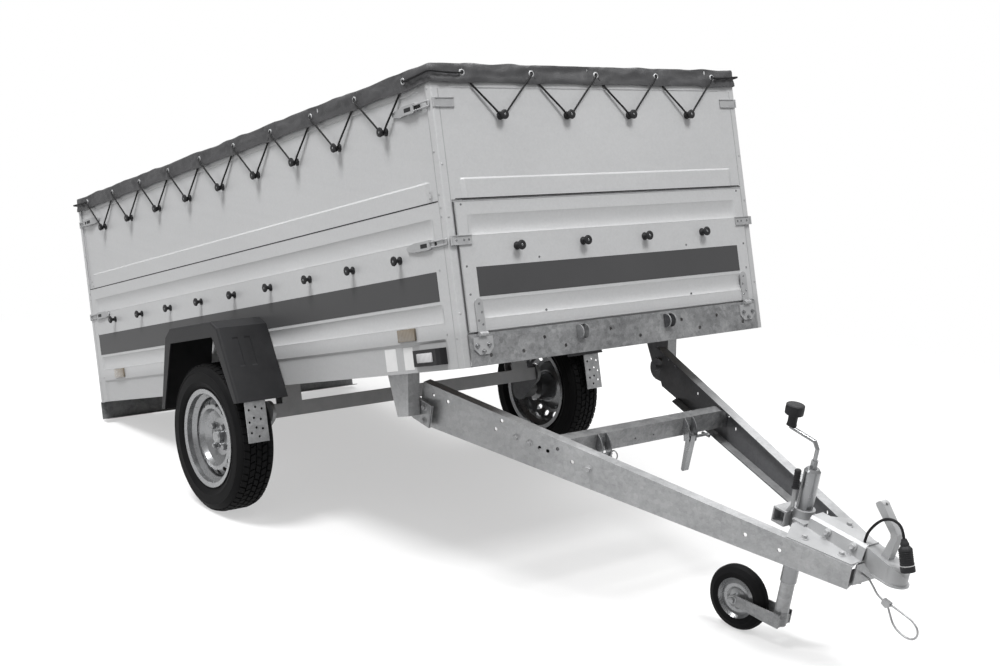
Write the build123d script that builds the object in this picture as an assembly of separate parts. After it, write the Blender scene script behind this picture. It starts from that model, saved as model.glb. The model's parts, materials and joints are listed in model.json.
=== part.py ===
from build123d import *
import os
from math import acos, asin, atan2, cos, degrees, hypot, pi, radians, sin, tan

# A two-wheeled utility trailer whose box tips on its drawbar, with extension boards and a laced flat cover.
# The box is modelled level in its own frame: x forward from its front face, y to the left from its middle,
# z up from the bottom of its side walls. The drawbar has its own frame at the tipping pivot.
# Both are then placed as the trailer stands: partly tipped, on its road wheels and its jack, floor at z = 0.

# Box
BOX_LENGTH = 2700.0
BOX_WIDTH = 1300.0
WALL = 25.0
WALL_SHEET = 2.0
WALL_HEIGHT = 495.0
EXTENSION_HEIGHT = 400.0
EXTENSION_STRIP = 58.0
EXTENSION_SETBACK = 6.0
BOARD_RIM = 3.0
BOARD_RIM_DROP = 68.0
RIB_DEPTH = 7.0
RIB_END = 41.0
RIB_TAPER = 16.0
RIB_LOWER_RISE = 54.0
RIB_LOWER_HEIGHT = 56.0
RIB_LOWER_SLOPE = 6.0
RIB_UPPER_DROP = 47.0
RIB_UPPER_HEIGHT = 62.0
RIB_UPPER_SLOPE = 8.0
SILL_HEIGHT = 84.0
SILL_SLOPE = 8.0
SILL_SETBACK = 5.0
POST = 26.0
POST_SHEET = 2.5
POST_SETBACK = 6.0
POST_ROUND = 5.0
FLOOR_THICK = 12.0
RAIL_HEIGHT = 96.0
RAIL_DEPTH = 40.0
RAIL_SHEET = 3.0
RAIL_HOLE = 6.0
BEARER_HEIGHT = 84.0
BEARER_DEPTH = 50.0
REAR_BEARERS = 2
GATE_GAP = 5.2
FLOOR_END_GAP = 6.0

# Gate hinges
HINGE_INSET = 49.0
HINGE_WIDTH = 30.0
HINGE_PLATE = 4.0
HINGE_STRAP_HEIGHT = 98.0
HINGE_LEAF_DROP = 60.0
HINGE_LEAF_WIDTH = 72.0
HINGE_LEAF_FOOT = 36.0
HINGE_PIN_RADIUS = 4.0
HINGE_KNUCKLE_RADIUS = 7.5
PIN_CLEARANCE = 0.3

# Rope hooks, cover and lashing
HOOK_SHANK_RADIUS = 6.0
HOOK_SHANK = 20.0
HOOK_HEAD_RADIUS = 11.0
HOOK_HEAD = 9.0
HOOK_PITCH_SIDE = 271.0
HOOKS_SIDE = 9
HOOK_PITCH_END = 268.0
HOOKS_END = 4
HOOK_DROP_LOWER = 149.0
HOOK_DROP_UPPER = 153.0
COVER_SHEET = 2.0
COVER_SKIRT = 58.0
EYELET_DROP = 26.0
CORD_RADIUS = 4.0
CORD_CLEARANCE = 0.6

# Corner latches
LATCH_DROP_LOWER = 121.0
LATCH_DROP_UPPER = 113.0
LATCH_WIDTH = 28.0
LATCH_PIVOT_BACK = 98.0
LATCH_LEVER = 118.0
LATCH_SHEET = 3.0
LATCH_BARREL = 4.5
BAIL_BACK = 13.0
BAIL_RADIUS = 2.5
KEEPER_LENGTH = 76.0
KEEPER_SHEET = 3.0
KEEPER_CURL = 3.0

# Lamps
LAMP_LENGTH = 164.0
LAMP_BOTTOM = 18.0
LAMP_HEIGHT = 50.0
LAMP_PROUD = 26.0
LAMP_CARRIER_HEIGHT = 76.0
LAMP_CARRIER_DEPTH = 45.0
REAR_LAMP_INSET = 40.0
REAR_LAMP_WIDTH = 210.0
REAR_LAMP_DEPTH = 38.0
REAR_LAMP_DROP = 12.0
REAR_LAMP_LIFT = 8.0

# Running gear
AXLE_BACK = 1350.0
AXLE_DROP = 157.0
TYRE_RADIUS = 267.0
TYRE_WIDTH = 146.0
TYRE_GAP = 42.0
TYRE_CASING = 12.0
RIM_RADIUS = 177.5
RIM_SEAT_RADIUS = 165.0
RIM_WELL_RADIUS = 148.0
RIM_WIDTH = 126.0
RIM_SHEET = 4.0
RIM_HOLES = 16
RIM_HOLE_RADIUS = 11.0
RIM_HOLE_CIRCLE = 127.0
RIM_DISH_RADIUS = 104.0
BEAD_CLEARANCE = 0.2
HUB_RADIUS = 48.0
HUB_CAP_RADIUS = 26.0
DISC_SEAT = 4.0
STUB_RADIUS = 17.0
BEAM_SIZE = 50.0
BEAM_SHEET = 5.0
BEAM_AHEAD = 100.0
BEAM_DROP = 92.0
HANGER_LENGTH = 80.0
HANGER_INSET = 40.0
ARM_PLATE = 14.0
FENDER_WIDTH = 196.0
FENDER_SHEET = 5.0
FENDER_LIP_TOP = 55.0
FENDER_LIP_LEG = 30.0
FENDER_BOTTOM = -40.0
FENDER_ROUND = 9.0
FENDER_GROOVE = 22.0
FENDER_GROOVE_DEPTH = 2.5
BRACKET_OFFSET = 89.0
BRACKET_WIDTH = 80.0
BRACKET_DROP = 142.0
BRACKET_LAP = 70.0
BRACKET_SHEET = 3.0

# Tipping pivot and drawbar
PIVOT_BACK = 430.0
PIVOT_DROP = 106.0
PIVOT_PIN_RADIUS = 9.0
TIP_ANGLE = 23.5
EYE_OFFSET = 548.0
EYE_PLATE = 8.0
EYE_ROUND = 38.0
EYE_BOTTOM = 44.0
EYE_TOP = 32.0
POST_GAP = 6.0
PIVOT_POST_WIDTH = 44.0
PIVOT_POST_TOP = 120.0
PIVOT_POST_FOOT = 60.0
PIVOT_POST_SHEET = 4.0
ARM_START = 20.0
ARM_END = 1395.0
ARM_END_OFFSET = 84.0
ARM_FLANGE = 36.0
ARM_SHEET = 4.0
ARM_BOTTOM = 52.0
ARM_TOP_REAR = 88.0
ARM_TOP_FRONT = 17.0
ARM_FLANGE_LAG = 150.0
ARM_HOLE = 6.0
CROSSBAR_X = 453.0
CROSSBAR_DEPTH = 40.0
CROSSBAR_HEIGHT = 62.0
CROSSBAR_TOP = 52.0
CROSSBAR_SHEET = 3.0
LOCK_OFFSET = 190.0
LOCK_CHEEK_GAP = 32.0
LOCK_CHEEK = 4.0
LOCK_REACH = 34.0

# Coupling and jack, along the drawbar from the pivot
COUPLING_START = 1160.0
COUPLING_SPREAD = 48.0
COUPLING_TIP = 1512.0
COUPLING_WIDTH = 62.0
COUPLING_TOP = 66.0
COUPLING_SHEET = 4.0
COUPLING_LIP = 6.0
BALL_RADIUS = 25.0
BALL_CLEARANCE = 0.5
BALL_BACK = 44.0
HANDLE_WIDTH = 26.0
HANDLE_SHEET = 4.0
HANDLE_HOLE = 4.5
PLUG_RADIUS = 20.0
PLUG_CABLE_RADIUS = 4.0
SAFETY_CABLE_RADIUS = 3.0
JACK_X = 1145.0
JACK_TUBE_RADIUS = 24.0
JACK_TUBE_TOP = 185.0
JACK_TUBE_BOTTOM = -172.0
JACK_LEG_RADIUS = 21.0
JACK_LEG_SHEET = 3.0
JACK_LEG_TOP = 60.0
JACK_LEG_BOTTOM = -266.0
JACK_CLEARANCE = 0.4
CLAMP_WALL = 8.0
CLAMP_TUBE = 46.0
CLAMP_TUBE_WALL = 5.0
CLAMP_TUBE_LOW = 2.0
CLAMP_TOP = 62.0
CLAMP_FOOT = 44.0
GRIP_RADIUS = 8.0
CRANK_RADIUS = 6.0
CRANK_THROW = 104.0
KNOB_RADIUS = 26.0
KNOB_NECK_RADIUS = 13.0
FORK_BOTTOM = -312.0
FORK_TRAIL = 146.0
FORK_SWIVEL = 8.0
FORK_STRIP = 5.0
SWIVEL_PIN_RADIUS = 12.0
SWIVEL_PIN = 38.0
LEG_PLUG = 16.0
JOCKEY_RADIUS = 100.0
JOCKEY_WIDTH = 46.0
JOCKEY_RIM_RADIUS = 62.0
JOCKEY_SIDE_GAP = 7.0
JOCKEY_AXLE_Z = -294.0
JOCKEY_BOLT_RADIUS = 6.0

HALF_WIDTH = BOX_WIDTH / 2
WALL_INNER = HALF_WIDTH - WALL
WALL_TOP = WALL_HEIGHT + EXTENSION_HEIGHT
FLOOR_TOP = RAIL_HEIGHT + FLOOR_THICK
GATE_BOTTOM = RAIL_HEIGHT + GATE_GAP
GATE_TOP = WALL_HEIGHT - GATE_GAP
POST_REAR = POST + POST_SETBACK
POST_INNER = HALF_WIDTH - POST
GATE_HALF = POST_INNER - GATE_GAP
HINGE_Z = GATE_BOTTOM - HINGE_KNUCKLE_RADIUS
HINGE_AHEAD = HINGE_KNUCKLE_RADIUS + PIN_CLEARANCE
HOOK_HEIGHT_LOWER = WALL_HEIGHT - HOOK_DROP_LOWER
HOOK_HEIGHT_UPPER = WALL_TOP - HOOK_DROP_UPPER

# Every node: its frame and its solids
nodes = {}


def block(x0, x1, y0, y1, z0, z1):
    return Pos((x0 + x1) / 2, (y0 + y1) / 2, (z0 + z1) / 2) * Box(x1 - x0, y1 - y0, z1 - z0)


def rod(start, end, radius):
    start, end = Vector(*start), Vector(*end)
    run = end - start
    bar = Cylinder(radius, run.length, align=(Align.CENTER, Align.CENTER, Align.MIN))
    return Plane(origin=start, z_dir=run) * bar


def bent_rod(points, radius):
    """Round bar along straight runs, with ball joints at its bends."""
    bar = rod(points[0], points[1], radius)
    for start, end in zip(points[1:], points[2:]):
        bar += Pos(*start) * Sphere(radius)
        bar += rod(start, end, radius)
    return bar


def prism(outline, place, run):
    """Solid from a closed outline. An item is a point, or (middle, end) of an arc that leaves the last point."""
    edges = []
    start = outline[0]
    for item in outline[1:] + [outline[0]]:
        if isinstance(item[0], tuple):
            middle, end = item
            edges.append(Edge.make_three_point_arc(place(*start), place(*middle), place(*end)))
        else:
            end = item
            if end != start:
                edges.append(Edge.make_line(place(*start), place(*end)))
        start = end
    return Solid.extrude(Face(Wire(edges)), Vector(*run))


def prism_y(outline, y0, y1):
    """Solid between two planes of y from an outline of (x, z) points."""
    return prism(outline, lambda x, z: (x, y0, z), (0, y1 - y0, 0))


def prism_x(outline, x0, x1):
    """Solid between two planes of x from an outline of (y, z) points."""
    return prism(outline, lambda y, z: (x0, y, z), (x1 - x0, 0, 0))


def prism_z(outline, z0, z1):
    """Solid between two planes of z from an outline of (x, y) points."""
    return prism(outline, lambda x, y: (x, y, z0), (0, 0, z1 - z0))


def turned(outline):
    """Solid of revolution about the y axis from an outline of (radius, y) points."""
    return revolve(Face(Wire.make_polygon([(r, y, 0) for r, y in outline])), Axis.Y, 360)


def left(solid):
    return mirror(solid, about=Plane.XZ)


def both(solid):
    return [solid, left(solid)]


def rear(solid):
    """The same piece at the other end of the box."""
    return mirror(solid, about=Plane.YZ.offset(-BOX_LENGTH / 2))


def corners(solid):
    return both(solid) + both(rear(solid))


# Floor and frame

def channel(x0, x1, y0, y1, z0, z1, open_side):
    """Folded channel along y, open to the front or to the rear."""
    body = block(x0, x1, y0, y1, z0, z1)
    if open_side == "rear":
        return body - block(x0, x1 - RAIL_SHEET, y0, y1, z0 + RAIL_SHEET, z1 - RAIL_SHEET)
    return body - block(x0 + RAIL_SHEET, x1, y0, y1, z0 + RAIL_SHEET, z1 - RAIL_SHEET)


front_rail = channel(-RAIL_DEPTH, 0, -POST_INNER, POST_INNER, 0, RAIL_HEIGHT, "rear")
rear_rail = rear(front_rail)
# Round holes in the front rail: share of the half width, share of the height
RAIL_HOLES = [(-0.88, 0.3), (-0.68, 0.3), (-0.54, 0.65), (-0.41, 0.3), (-0.1, 0.65),
              (0.1, 0.3), (0.41, 0.65), (0.54, 0.3), (0.68, 0.65), (0.88, 0.3)]
for across, up in RAIL_HOLES:
    y, z = across * POST_INNER, up * RAIL_HEIGHT
    front_rail -= rod((-RAIL_SHEET - 1, y, z), (1, y, z), RAIL_HOLE)
# Lock lug: a bent strap round the lock's pin
lug_low, lug_high = RAIL_HEIGHT * 0.46, RAIL_HEIGHT * 0.9
lug_middle = (lug_low + lug_high) / 2
lug = prism_y([(0, lug_low), ((30, lug_middle), (0, lug_high))], LOCK_OFFSET - 15, LOCK_OFFSET + 15)
lug -= block(RAIL_SHEET, 40, LOCK_OFFSET - 10, LOCK_OFFSET + 10, lug_low - 1, lug_high + 1)
front_rail = front_rail + lug + left(lug)
nodes["front_crossmember"] = ("box", [front_rail])
nodes["rear_crossmember"] = ("box", [rear_rail])
nodes["rear_lamp_carrier"] = ("box", [rear(channel(-LAMP_CARRIER_DEPTH, 0, -HALF_WIDTH, HALF_WIDTH,
                                                   -LAMP_CARRIER_HEIGHT, 0, "rear"))])
floor_end = WALL + FLOOR_END_GAP
nodes["floor_panel"] = ("box", [block(-BOX_LENGTH + floor_end, -floor_end, -POST_INNER, POST_INNER,
                                      RAIL_HEIGHT, FLOOR_TOP)])
BEAM_BACK = AXLE_BACK - BEAM_AHEAD
rear_gap = (BOX_LENGTH - RAIL_DEPTH - BEAM_BACK) / (REAR_BEARERS + 1)
bearers_back = [PIVOT_BACK, BEAM_BACK] + [BEAM_BACK + rear_gap * (i + 1) for i in range(REAR_BEARERS)]
bearers = []
for back in bearers_back:
    bearers.append(channel(-back - BEARER_DEPTH / 2, -back + BEARER_DEPTH / 2, -WALL_INNER, WALL_INNER,
                           RAIL_HEIGHT - BEARER_HEIGHT, RAIL_HEIGHT, "rear"))
nodes["floor_crossmembers"] = ("box", bearers)

# Walls. Relief of the sheet: height above the sill, depth behind the outer face
rib_foot = SILL_HEIGHT + RIB_LOWER_RISE
rib_high = WALL_HEIGHT - RIB_UPPER_DROP
SHEET_RELIEF = [(0, SILL_SETBACK), (SILL_HEIGHT, SILL_SETBACK), (SILL_HEIGHT + SILL_SLOPE, 0), (rib_foot, 0),
                (rib_foot + RIB_LOWER_SLOPE, RIB_DEPTH), (rib_foot + RIB_LOWER_HEIGHT - RIB_LOWER_SLOPE, RIB_DEPTH),
                (rib_foot + RIB_LOWER_HEIGHT, 0), (rib_high - RIB_UPPER_HEIGHT, 0),
                (rib_high - RIB_UPPER_HEIGHT + RIB_UPPER_SLOPE, RIB_DEPTH), (rib_high - RIB_UPPER_SLOPE, RIB_DEPTH),
                (rib_high, 0), (WALL_HEIGHT, 0)]
gate_rows = [row for row in SHEET_RELIEF if GATE_BOTTOM < row[0] < GATE_TOP]
GATE_RELIEF = [(GATE_BOTTOM, 0)] + gate_rows + [(GATE_TOP, 0)]
STRIP_TOP = WALL_HEIGHT + EXTENSION_STRIP
RIM_LOW = WALL_TOP - BOARD_RIM_DROP
RIM_FACE = EXTENSION_SETBACK - BOARD_RIM
EXTENSION_RELIEF = [(WALL_HEIGHT, 0), (STRIP_TOP, 0), (STRIP_TOP + EXTENSION_SETBACK, EXTENSION_SETBACK),
                    (RIM_LOW - BOARD_RIM, EXTENSION_SETBACK), (RIM_LOW, RIM_FACE), (WALL_TOP, RIM_FACE)]


def folded_sheet(relief, low, high):
    """Section of a pressed wall as (depth, height): relief outside, edges folded in to the wall's full depth."""
    skin = [(depth, z) for z, depth in relief]
    inner_low, inner_high = low + WALL_SHEET, high - WALL_SHEET
    back = [(depth + WALL_SHEET, min(max(z, inner_low), inner_high)) for depth, z in reversed(skin)]
    return [(WALL, low)] + skin + [(WALL, high), (WALL, inner_high)] + back + [(WALL, inner_low)]


def pressed_wall(relief, end_depth, start, end, place):
    """Wall of pressed sheet along a run: its ribs fade out before both ends."""
    low, high = relief[0][0], relief[-1][0]

    def section(run, ribbed):
        rows = relief if ribbed else [(z, end_depth) for z, depth in relief]
        return Wire.make_polygon([place(run, depth, z) for depth, z in folded_sheet(rows, low, high)])

    rib_start, rib_end = start + RIB_END, end - RIB_END
    sections = [section(start, False), section(rib_start, False), section(rib_start + RIB_TAPER, True),
                section(rib_end - RIB_TAPER, True), section(rib_end, False), section(end, False)]
    return Solid.make_loft(sections, ruled=True)


def on_right(run, depth, z):
    return (run, -HALF_WIDTH + depth, z)


def on_front(run, depth, z):
    return (-depth, run, z)


SIDE_RUN = (-BOX_LENGTH + POST_REAR, -POST_REAR)
lower_side = pressed_wall(SHEET_RELIEF, 0, *SIDE_RUN, on_right)
upper_side = pressed_wall(EXTENSION_RELIEF, EXTENSION_SETBACK, *SIDE_RUN, on_right)
for node, wall in [("side_wall", lower_side), ("extension_side", upper_side)]:
    nodes[node + "_right"] = ("box", [wall])
    nodes[node + "_left"] = ("box", [left(wall)])
extension_end = pressed_wall(EXTENSION_RELIEF, EXTENSION_SETBACK, -POST_INNER, POST_INNER, on_front)
nodes["extension_front"] = ("box", [extension_end])
nodes["extension_rear"] = ("box", [rear(extension_end)])
gate = pressed_wall(GATE_RELIEF, 0, -GATE_HALF, GATE_HALF, on_front)
nodes["front_gate"] = ("box", [gate])
nodes["tailgate"] = ("box", [rear(gate)])


def post_outline(inset):
    """Plan of a corner post, rounded at the outer corner of the box."""
    rear_x, front_x = -POST_REAR + inset, -POST_SETBACK - inset
    outer_y, inner_y = -HALF_WIDTH + inset, -POST_INNER - inset
    r = POST_ROUND - inset
    bend = r * (1 - cos(pi / 4))
    corner = ((front_x - bend, outer_y + bend), (front_x, outer_y + r))
    return [(rear_x, outer_y), (front_x - r, outer_y), corner, (front_x, inner_y), (rear_x, inner_y)]


for node, z_low, z_high in [("corner_posts_lower", 0, WALL_HEIGHT), ("corner_posts_upper", WALL_HEIGHT, WALL_TOP)]:
    post = prism_z(post_outline(0), z_low, z_high) - prism_z(post_outline(POST_SHEET), z_low, z_high)
    nodes[node] = ("box", corners(post))


# Gate hinges: strap on the gate with its knuckle, and leaf on the rail with its pin
def gate_hinge(across):
    inner, outer = across - HINGE_WIDTH / 2, across + HINGE_WIDTH / 2
    third = HINGE_WIDTH / 3
    x, z = HINGE_AHEAD, HINGE_Z
    strap_top = GATE_BOTTOM + HINGE_STRAP_HEIGHT
    low, shoulder = GATE_BOTTOM + PIN_CLEARANCE, strap_top - HINGE_WIDTH / 2
    strap = prism_x([(inner, low), (outer, low), (outer, shoulder), ((across, strap_top), (inner, shoulder))],
                    0, HINGE_PLATE)
    strap += block(0, HINGE_PLATE, inner + third, outer - third, z, shoulder)
    strap += rod((x, inner + third, z), (x, outer - third, z), HINGE_KNUCKLE_RADIUS)
    strap -= rod((x, inner, z), (x, outer, z), HINGE_PIN_RADIUS + PIN_CLEARANCE)
    leaf_low, leaf_top = HINGE_Z - HINGE_LEAF_DROP, z - HINGE_KNUCKLE_RADIUS - PIN_CLEARANCE
    wide, foot = HINGE_LEAF_WIDTH / 2, HINGE_LEAF_FOOT / 2
    knee = leaf_low + wide - foot
    leaf = prism_x([(across - wide, leaf_top), (across - wide, knee), (across - foot, leaf_low),
                    (across + foot, leaf_low), (across + wide, knee), (across + wide, leaf_top)], 0, HINGE_PLATE)
    for y0, y1 in [(inner, inner + third - PIN_CLEARANCE), (outer - third + PIN_CLEARANCE, outer)]:
        leaf += rod((x, y0, z), (x, y1, z), HINGE_KNUCKLE_RADIUS)
        leaf += block(0, HINGE_PLATE, y0, y1, leaf_low, z)
    leaf += rod((x, inner, z), (x, outer, z), HINGE_PIN_RADIUS)
    return strap, leaf


hinge_strap, hinge_leaf = gate_hinge(-POST_INNER + HINGE_INSET)
nodes["gate_hinge_leaves"] = ("box", corners(hinge_leaf))


# Rope hooks: a shank on the wall with a round head
def hook():
    shank = extrude(Plane.XZ * RegularPolygon(HOOK_SHANK_RADIUS, 12), HOOK_SHANK)
    head = extrude(Plane.XZ.offset(HOOK_SHANK) * RegularPolygon(HOOK_HEAD_RADIUS, 16), HOOK_HEAD)
    return (shank + head).solid()


HOOK = hook()


def side_places():
    first = -BOX_LENGTH / 2 + HOOK_PITCH_SIDE * (HOOKS_SIDE - 1) / 2
    return [first - HOOK_PITCH_SIDE * i for i in range(HOOKS_SIDE)]


def end_places():
    return [HOOK_PITCH_END * (i - (HOOKS_END - 1) / 2) for i in range(HOOKS_END)]


def side_hooks(depth, z):
    return [Pos(x, -HALF_WIDTH + depth, z) * HOOK for x in side_places()]


def front_hooks(depth, z):
    return [Pos(-depth, y, z) * Rot(0, 0, 90) * HOOK for y in end_places()]


hooks = []
for one in side_hooks(EXTENSION_SETBACK, HOOK_HEIGHT_UPPER) + side_hooks(0, HOOK_HEIGHT_LOWER):
    hooks += both(one)
for one in front_hooks(EXTENSION_SETBACK, HOOK_HEIGHT_UPPER):
    hooks += [one, rear(one)]
nodes["rope_hooks"] = ("box", hooks)
gate_hooks = front_hooks(0, HOOK_HEIGHT_LOWER)
nodes["front_gate_hooks"] = ("box", gate_hooks)
nodes["tailgate_hooks"] = ("box", [rear(one) for one in gate_hooks])


# Corner latches: a toggle lever with a wire bail on the side, and a keeper strap on the end that the bail pulls
def side_latch(z, depth):
    face = -HALF_WIDTH + depth
    bail_y = -HALF_WIDTH - BAIL_RADIUS - 1
    half = LATCH_WIDTH / 2
    pivot = -LATCH_PIVOT_BACK
    base = block(pivot - 36, pivot + 24, face - LATCH_SHEET, face, z - half + 3, z + half - 3)
    for side in (z - half + 3, z + half - 3 - LATCH_SHEET):
        base += block(pivot - 12, pivot + 12, bail_y - 4, face, side, side + LATCH_SHEET)
    barrel = rod((pivot, bail_y, z - half), (pivot, bail_y, z + half), LATCH_BARREL)
    end = pivot - LATCH_LEVER
    high, lying = bail_y - LATCH_BARREL, face - 2 * LATCH_SHEET
    lever = prism_z([(pivot, high), (pivot - 46, high), (pivot - 80, lying), (end, lying), (end, lying + LATCH_SHEET),
                     (pivot - 80, lying + LATCH_SHEET), (pivot - 46, high + LATCH_SHEET), (pivot, high + LATCH_SHEET)],
                    z - half, z + half)
    lever &= prism_y([(pivot, z - half), (pivot, z + half), (end + 40, z + half), (end + 8, z + half * 0.55),
                      ((end, z), (end + 8, z - half * 0.55)), (end + 40, z - half)], high - 1, face)
    bail_x = -BAIL_BACK - depth
    bail = bent_rod([(pivot, bail_y, z - half + 6), (bail_x, bail_y, z - half + 6), (bail_x, bail_y, z + half - 6),
                     (pivot, bail_y, z + half - 6)], BAIL_RADIUS)
    return base + barrel + lever + bail


def keeper(z, face):
    """Strap on the end face with folded edges, curled at the box's corner."""
    half = LATCH_WIDTH / 2
    corner = -HALF_WIDTH + KEEPER_CURL
    inner = corner + KEEPER_LENGTH
    strap = block(face, face + KEEPER_SHEET, corner, inner, z - half, z + half)
    for low in (z - half, z + half - 2):
        strap += block(face, face + 2 * KEEPER_SHEET, corner + 8, inner, low, low + 2)
    curl_x = face + KEEPER_CURL
    return strap + rod((curl_x, corner, z - half), (curl_x, corner, z + half), KEEPER_CURL)


LATCH_Z_LOWER = WALL_HEIGHT - LATCH_DROP_LOWER
LATCH_Z_UPPER = WALL_TOP - LATCH_DROP_UPPER
latches = []
for one in [side_latch(LATCH_Z_LOWER, 0), side_latch(LATCH_Z_UPPER, EXTENSION_SETBACK)]:
    latches += corners(one)
upper_keeper = keeper(LATCH_Z_UPPER, -EXTENSION_SETBACK)
nodes["corner_latches"] = ("box", latches + corners(upper_keeper))
gate_fittings = both(hinge_strap) + both(keeper(LATCH_Z_LOWER, 0))
nodes["front_gate_fittings"] = ("box", gate_fittings)
nodes["tailgate_fittings"] = ("box", [rear(one) for one in gate_fittings])

# Cover: a flat sheet with a skirt all round, resting on the boards' top edges
SKIRT_LOW = WALL_TOP - COVER_SKIRT
cover = block(-BOX_LENGTH - COVER_SHEET, COVER_SHEET, -HALF_WIDTH - COVER_SHEET, HALF_WIDTH + COVER_SHEET,
              SKIRT_LOW, WALL_TOP + COVER_SHEET)
cover -= block(-BOX_LENGTH, 0, -HALF_WIDTH, HALF_WIDTH, SKIRT_LOW, WALL_TOP)
nodes["cover_sheet"] = ("box", [cover])


# Lashing cord: a zigzag from eyelet to hook along each side, in one plane outside the skirt
def lacing(places, pitch, point):
    z_eyelet = WALL_TOP - EYELET_DROP
    half_turn = atan2(abs(pitch) / 2, z_eyelet - HOOK_HEIGHT_UPPER)
    z_hook = HOOK_HEIGHT_UPPER - (HOOK_SHANK_RADIUS + CORD_RADIUS + CORD_CLEARANCE) / sin(half_turn)
    route = [point(places[0] - pitch / 2, z_eyelet)]
    for place in places:
        route += [point(place, z_hook), point(place + pitch / 2, z_eyelet)]
    path = Polyline(*route)
    section = Plane(origin=path @ 0, z_dir=path % 0) * RegularPolygon(CORD_RADIUS, 6)
    return sweep(section, path=path, transition=Transition.RIGHT)


CORD_OUT = COVER_SHEET + CORD_RADIUS + CORD_CLEARANCE
side_lacing = lacing(side_places(), -HOOK_PITCH_SIDE, lambda x, z: (x, -HALF_WIDTH - CORD_OUT, z))
front_lacing = lacing(end_places(), HOOK_PITCH_END, lambda y, z: (CORD_OUT, y, z))
nodes["lashing_cord"] = ("box", [side_lacing, left(side_lacing), front_lacing, rear(front_lacing)])

# Marker lamps on the sills, thicker towards the front, and rear lamps on their carrier
sill_face = -HALF_WIDTH + SILL_SETBACK
lamp_front = -POST_REAR - RIB_END - RIB_TAPER
lamp_rear = lamp_front - LAMP_LENGTH
lamp = prism_z([(lamp_rear, sill_face), (lamp_rear + 4, sill_face - LAMP_PROUD * 0.45),
                (lamp_front - 22, sill_face - LAMP_PROUD), (lamp_front - 6, sill_face - LAMP_PROUD * 0.8),
                (lamp_front, sill_face)], LAMP_BOTTOM, LAMP_BOTTOM + LAMP_HEIGHT)
nodes["marker_lamps"] = ("box", both(lamp))
lamp_inner = -HALF_WIDTH + REAR_LAMP_INSET + REAR_LAMP_WIDTH
rear_lamp = block(-BOX_LENGTH - REAR_LAMP_DEPTH, -BOX_LENGTH, -HALF_WIDTH + REAR_LAMP_INSET, lamp_inner,
                  -LAMP_CARRIER_HEIGHT + REAR_LAMP_LIFT, -REAR_LAMP_DROP)
rear_lamp = fillet(rear_lamp.edges().group_by(Axis.X)[0], 8)
nodes["rear_lamps"] = ("box", both(rear_lamp))

# Running gear: square axle beam with hangers, and a swing arm with a stub axle at each end
WHEEL_INNER = HALF_WIDTH + TYRE_GAP
WHEEL_MIDDLE = WHEEL_INNER + TYRE_WIDTH / 2
AXLE = Pos(-AXLE_BACK, 0, -AXLE_DROP)
BEAM_X = -BEAM_BACK
BEAM_END = WALL_INNER - 10


def square_bar(size):
    half = size / 2
    return block(BEAM_X - half, BEAM_X + half, -BEAM_END, BEAM_END, -BEAM_DROP - half, -BEAM_DROP + half)


beam = square_bar(BEAM_SIZE) - square_bar(BEAM_SIZE - 2 * BEAM_SHEET)
hanger_y = -BEAM_END + HANGER_INSET
hanger_end = hanger_y + HANGER_LENGTH
hanger_top, hanger_low = RAIL_HEIGHT - BEARER_HEIGHT, -BEAM_DROP + BEAM_SIZE / 2
hanger_back, hanger_front = BEAM_X - BEAM_SIZE / 2, BEAM_X + BEAM_SIZE / 2
hanger = block(hanger_back, hanger_front, hanger_y, hanger_end, hanger_low, hanger_top)
hanger -= block(hanger_back + BEAM_SHEET, hanger_front - BEAM_SHEET, hanger_y, hanger_end,
                hanger_low, hanger_top - BEAM_SHEET)
nodes["axle_beam"] = ("box", [beam + hanger + left(hanger)])

ARM_INNER = BEAM_END
ARM_OUTER = BEAM_END + ARM_PLATE


def across_arm(ahead, drop, y0, y1, radius):
    return rod((-AXLE_BACK + ahead, -y0, -drop), (-AXLE_BACK + ahead, -y1, -drop), radius)


arm_lean = atan2(AXLE_DROP - BEAM_DROP, BEAM_AHEAD)
boss = BEAM_SIZE * 0.8
side_x, side_z = boss * sin(arm_lean), boss * cos(arm_lean)
swing = prism_y([(-AXLE_BACK - side_x, -AXLE_DROP + side_z), (BEAM_X - side_x, -BEAM_DROP + side_z),
                 (BEAM_X + side_x, -BEAM_DROP - side_z), (-AXLE_BACK + side_x, -AXLE_DROP - side_z)],
                -ARM_OUTER, -ARM_INNER)
swing += across_arm(0, AXLE_DROP, ARM_INNER, ARM_OUTER, boss)
swing += across_arm(BEAM_AHEAD, BEAM_DROP, ARM_INNER, ARM_OUTER, boss)
STUB_END = WHEEL_MIDDLE + 20
swing += across_arm(0, AXLE_DROP, ARM_OUTER, STUB_END, STUB_RADIUS)
swing += across_arm(0, AXLE_DROP, ARM_OUTER, WHEEL_INNER - 8, 2 * STUB_RADIUS)
nodes["torsion_arms"] = ("box", both(swing))

# Wheel about the y axis, y outwards from the middle of the tyre
tyre_half = TYRE_WIDTH / 2
rim_half = RIM_WIDTH / 2
bead = RIM_SEAT_RADIUS + BEAD_CLEARANCE
tread_edge = TYRE_RADIUS - TYRE_CASING
casing = [(bead, rim_half - 7), (RIM_RADIUS + 6, rim_half - RIM_SHEET - 1), (RIM_RADIUS + 26, tyre_half),
          (TYRE_RADIUS - 34, tyre_half - 1), (tread_edge, tyre_half - 9), (TYRE_RADIUS, tyre_half - 28)]
inside = [(bead, rim_half - 7 - TYRE_CASING), (RIM_RADIUS + 26, tyre_half - TYRE_CASING),
          (tread_edge - 4, tyre_half - 26)]


def mirrored(outline):
    return [(r, -y) for r, y in outline]


tyre = turned(casing + mirrored(reversed(casing)) + mirrored(inside) + list(reversed(inside)))
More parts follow.
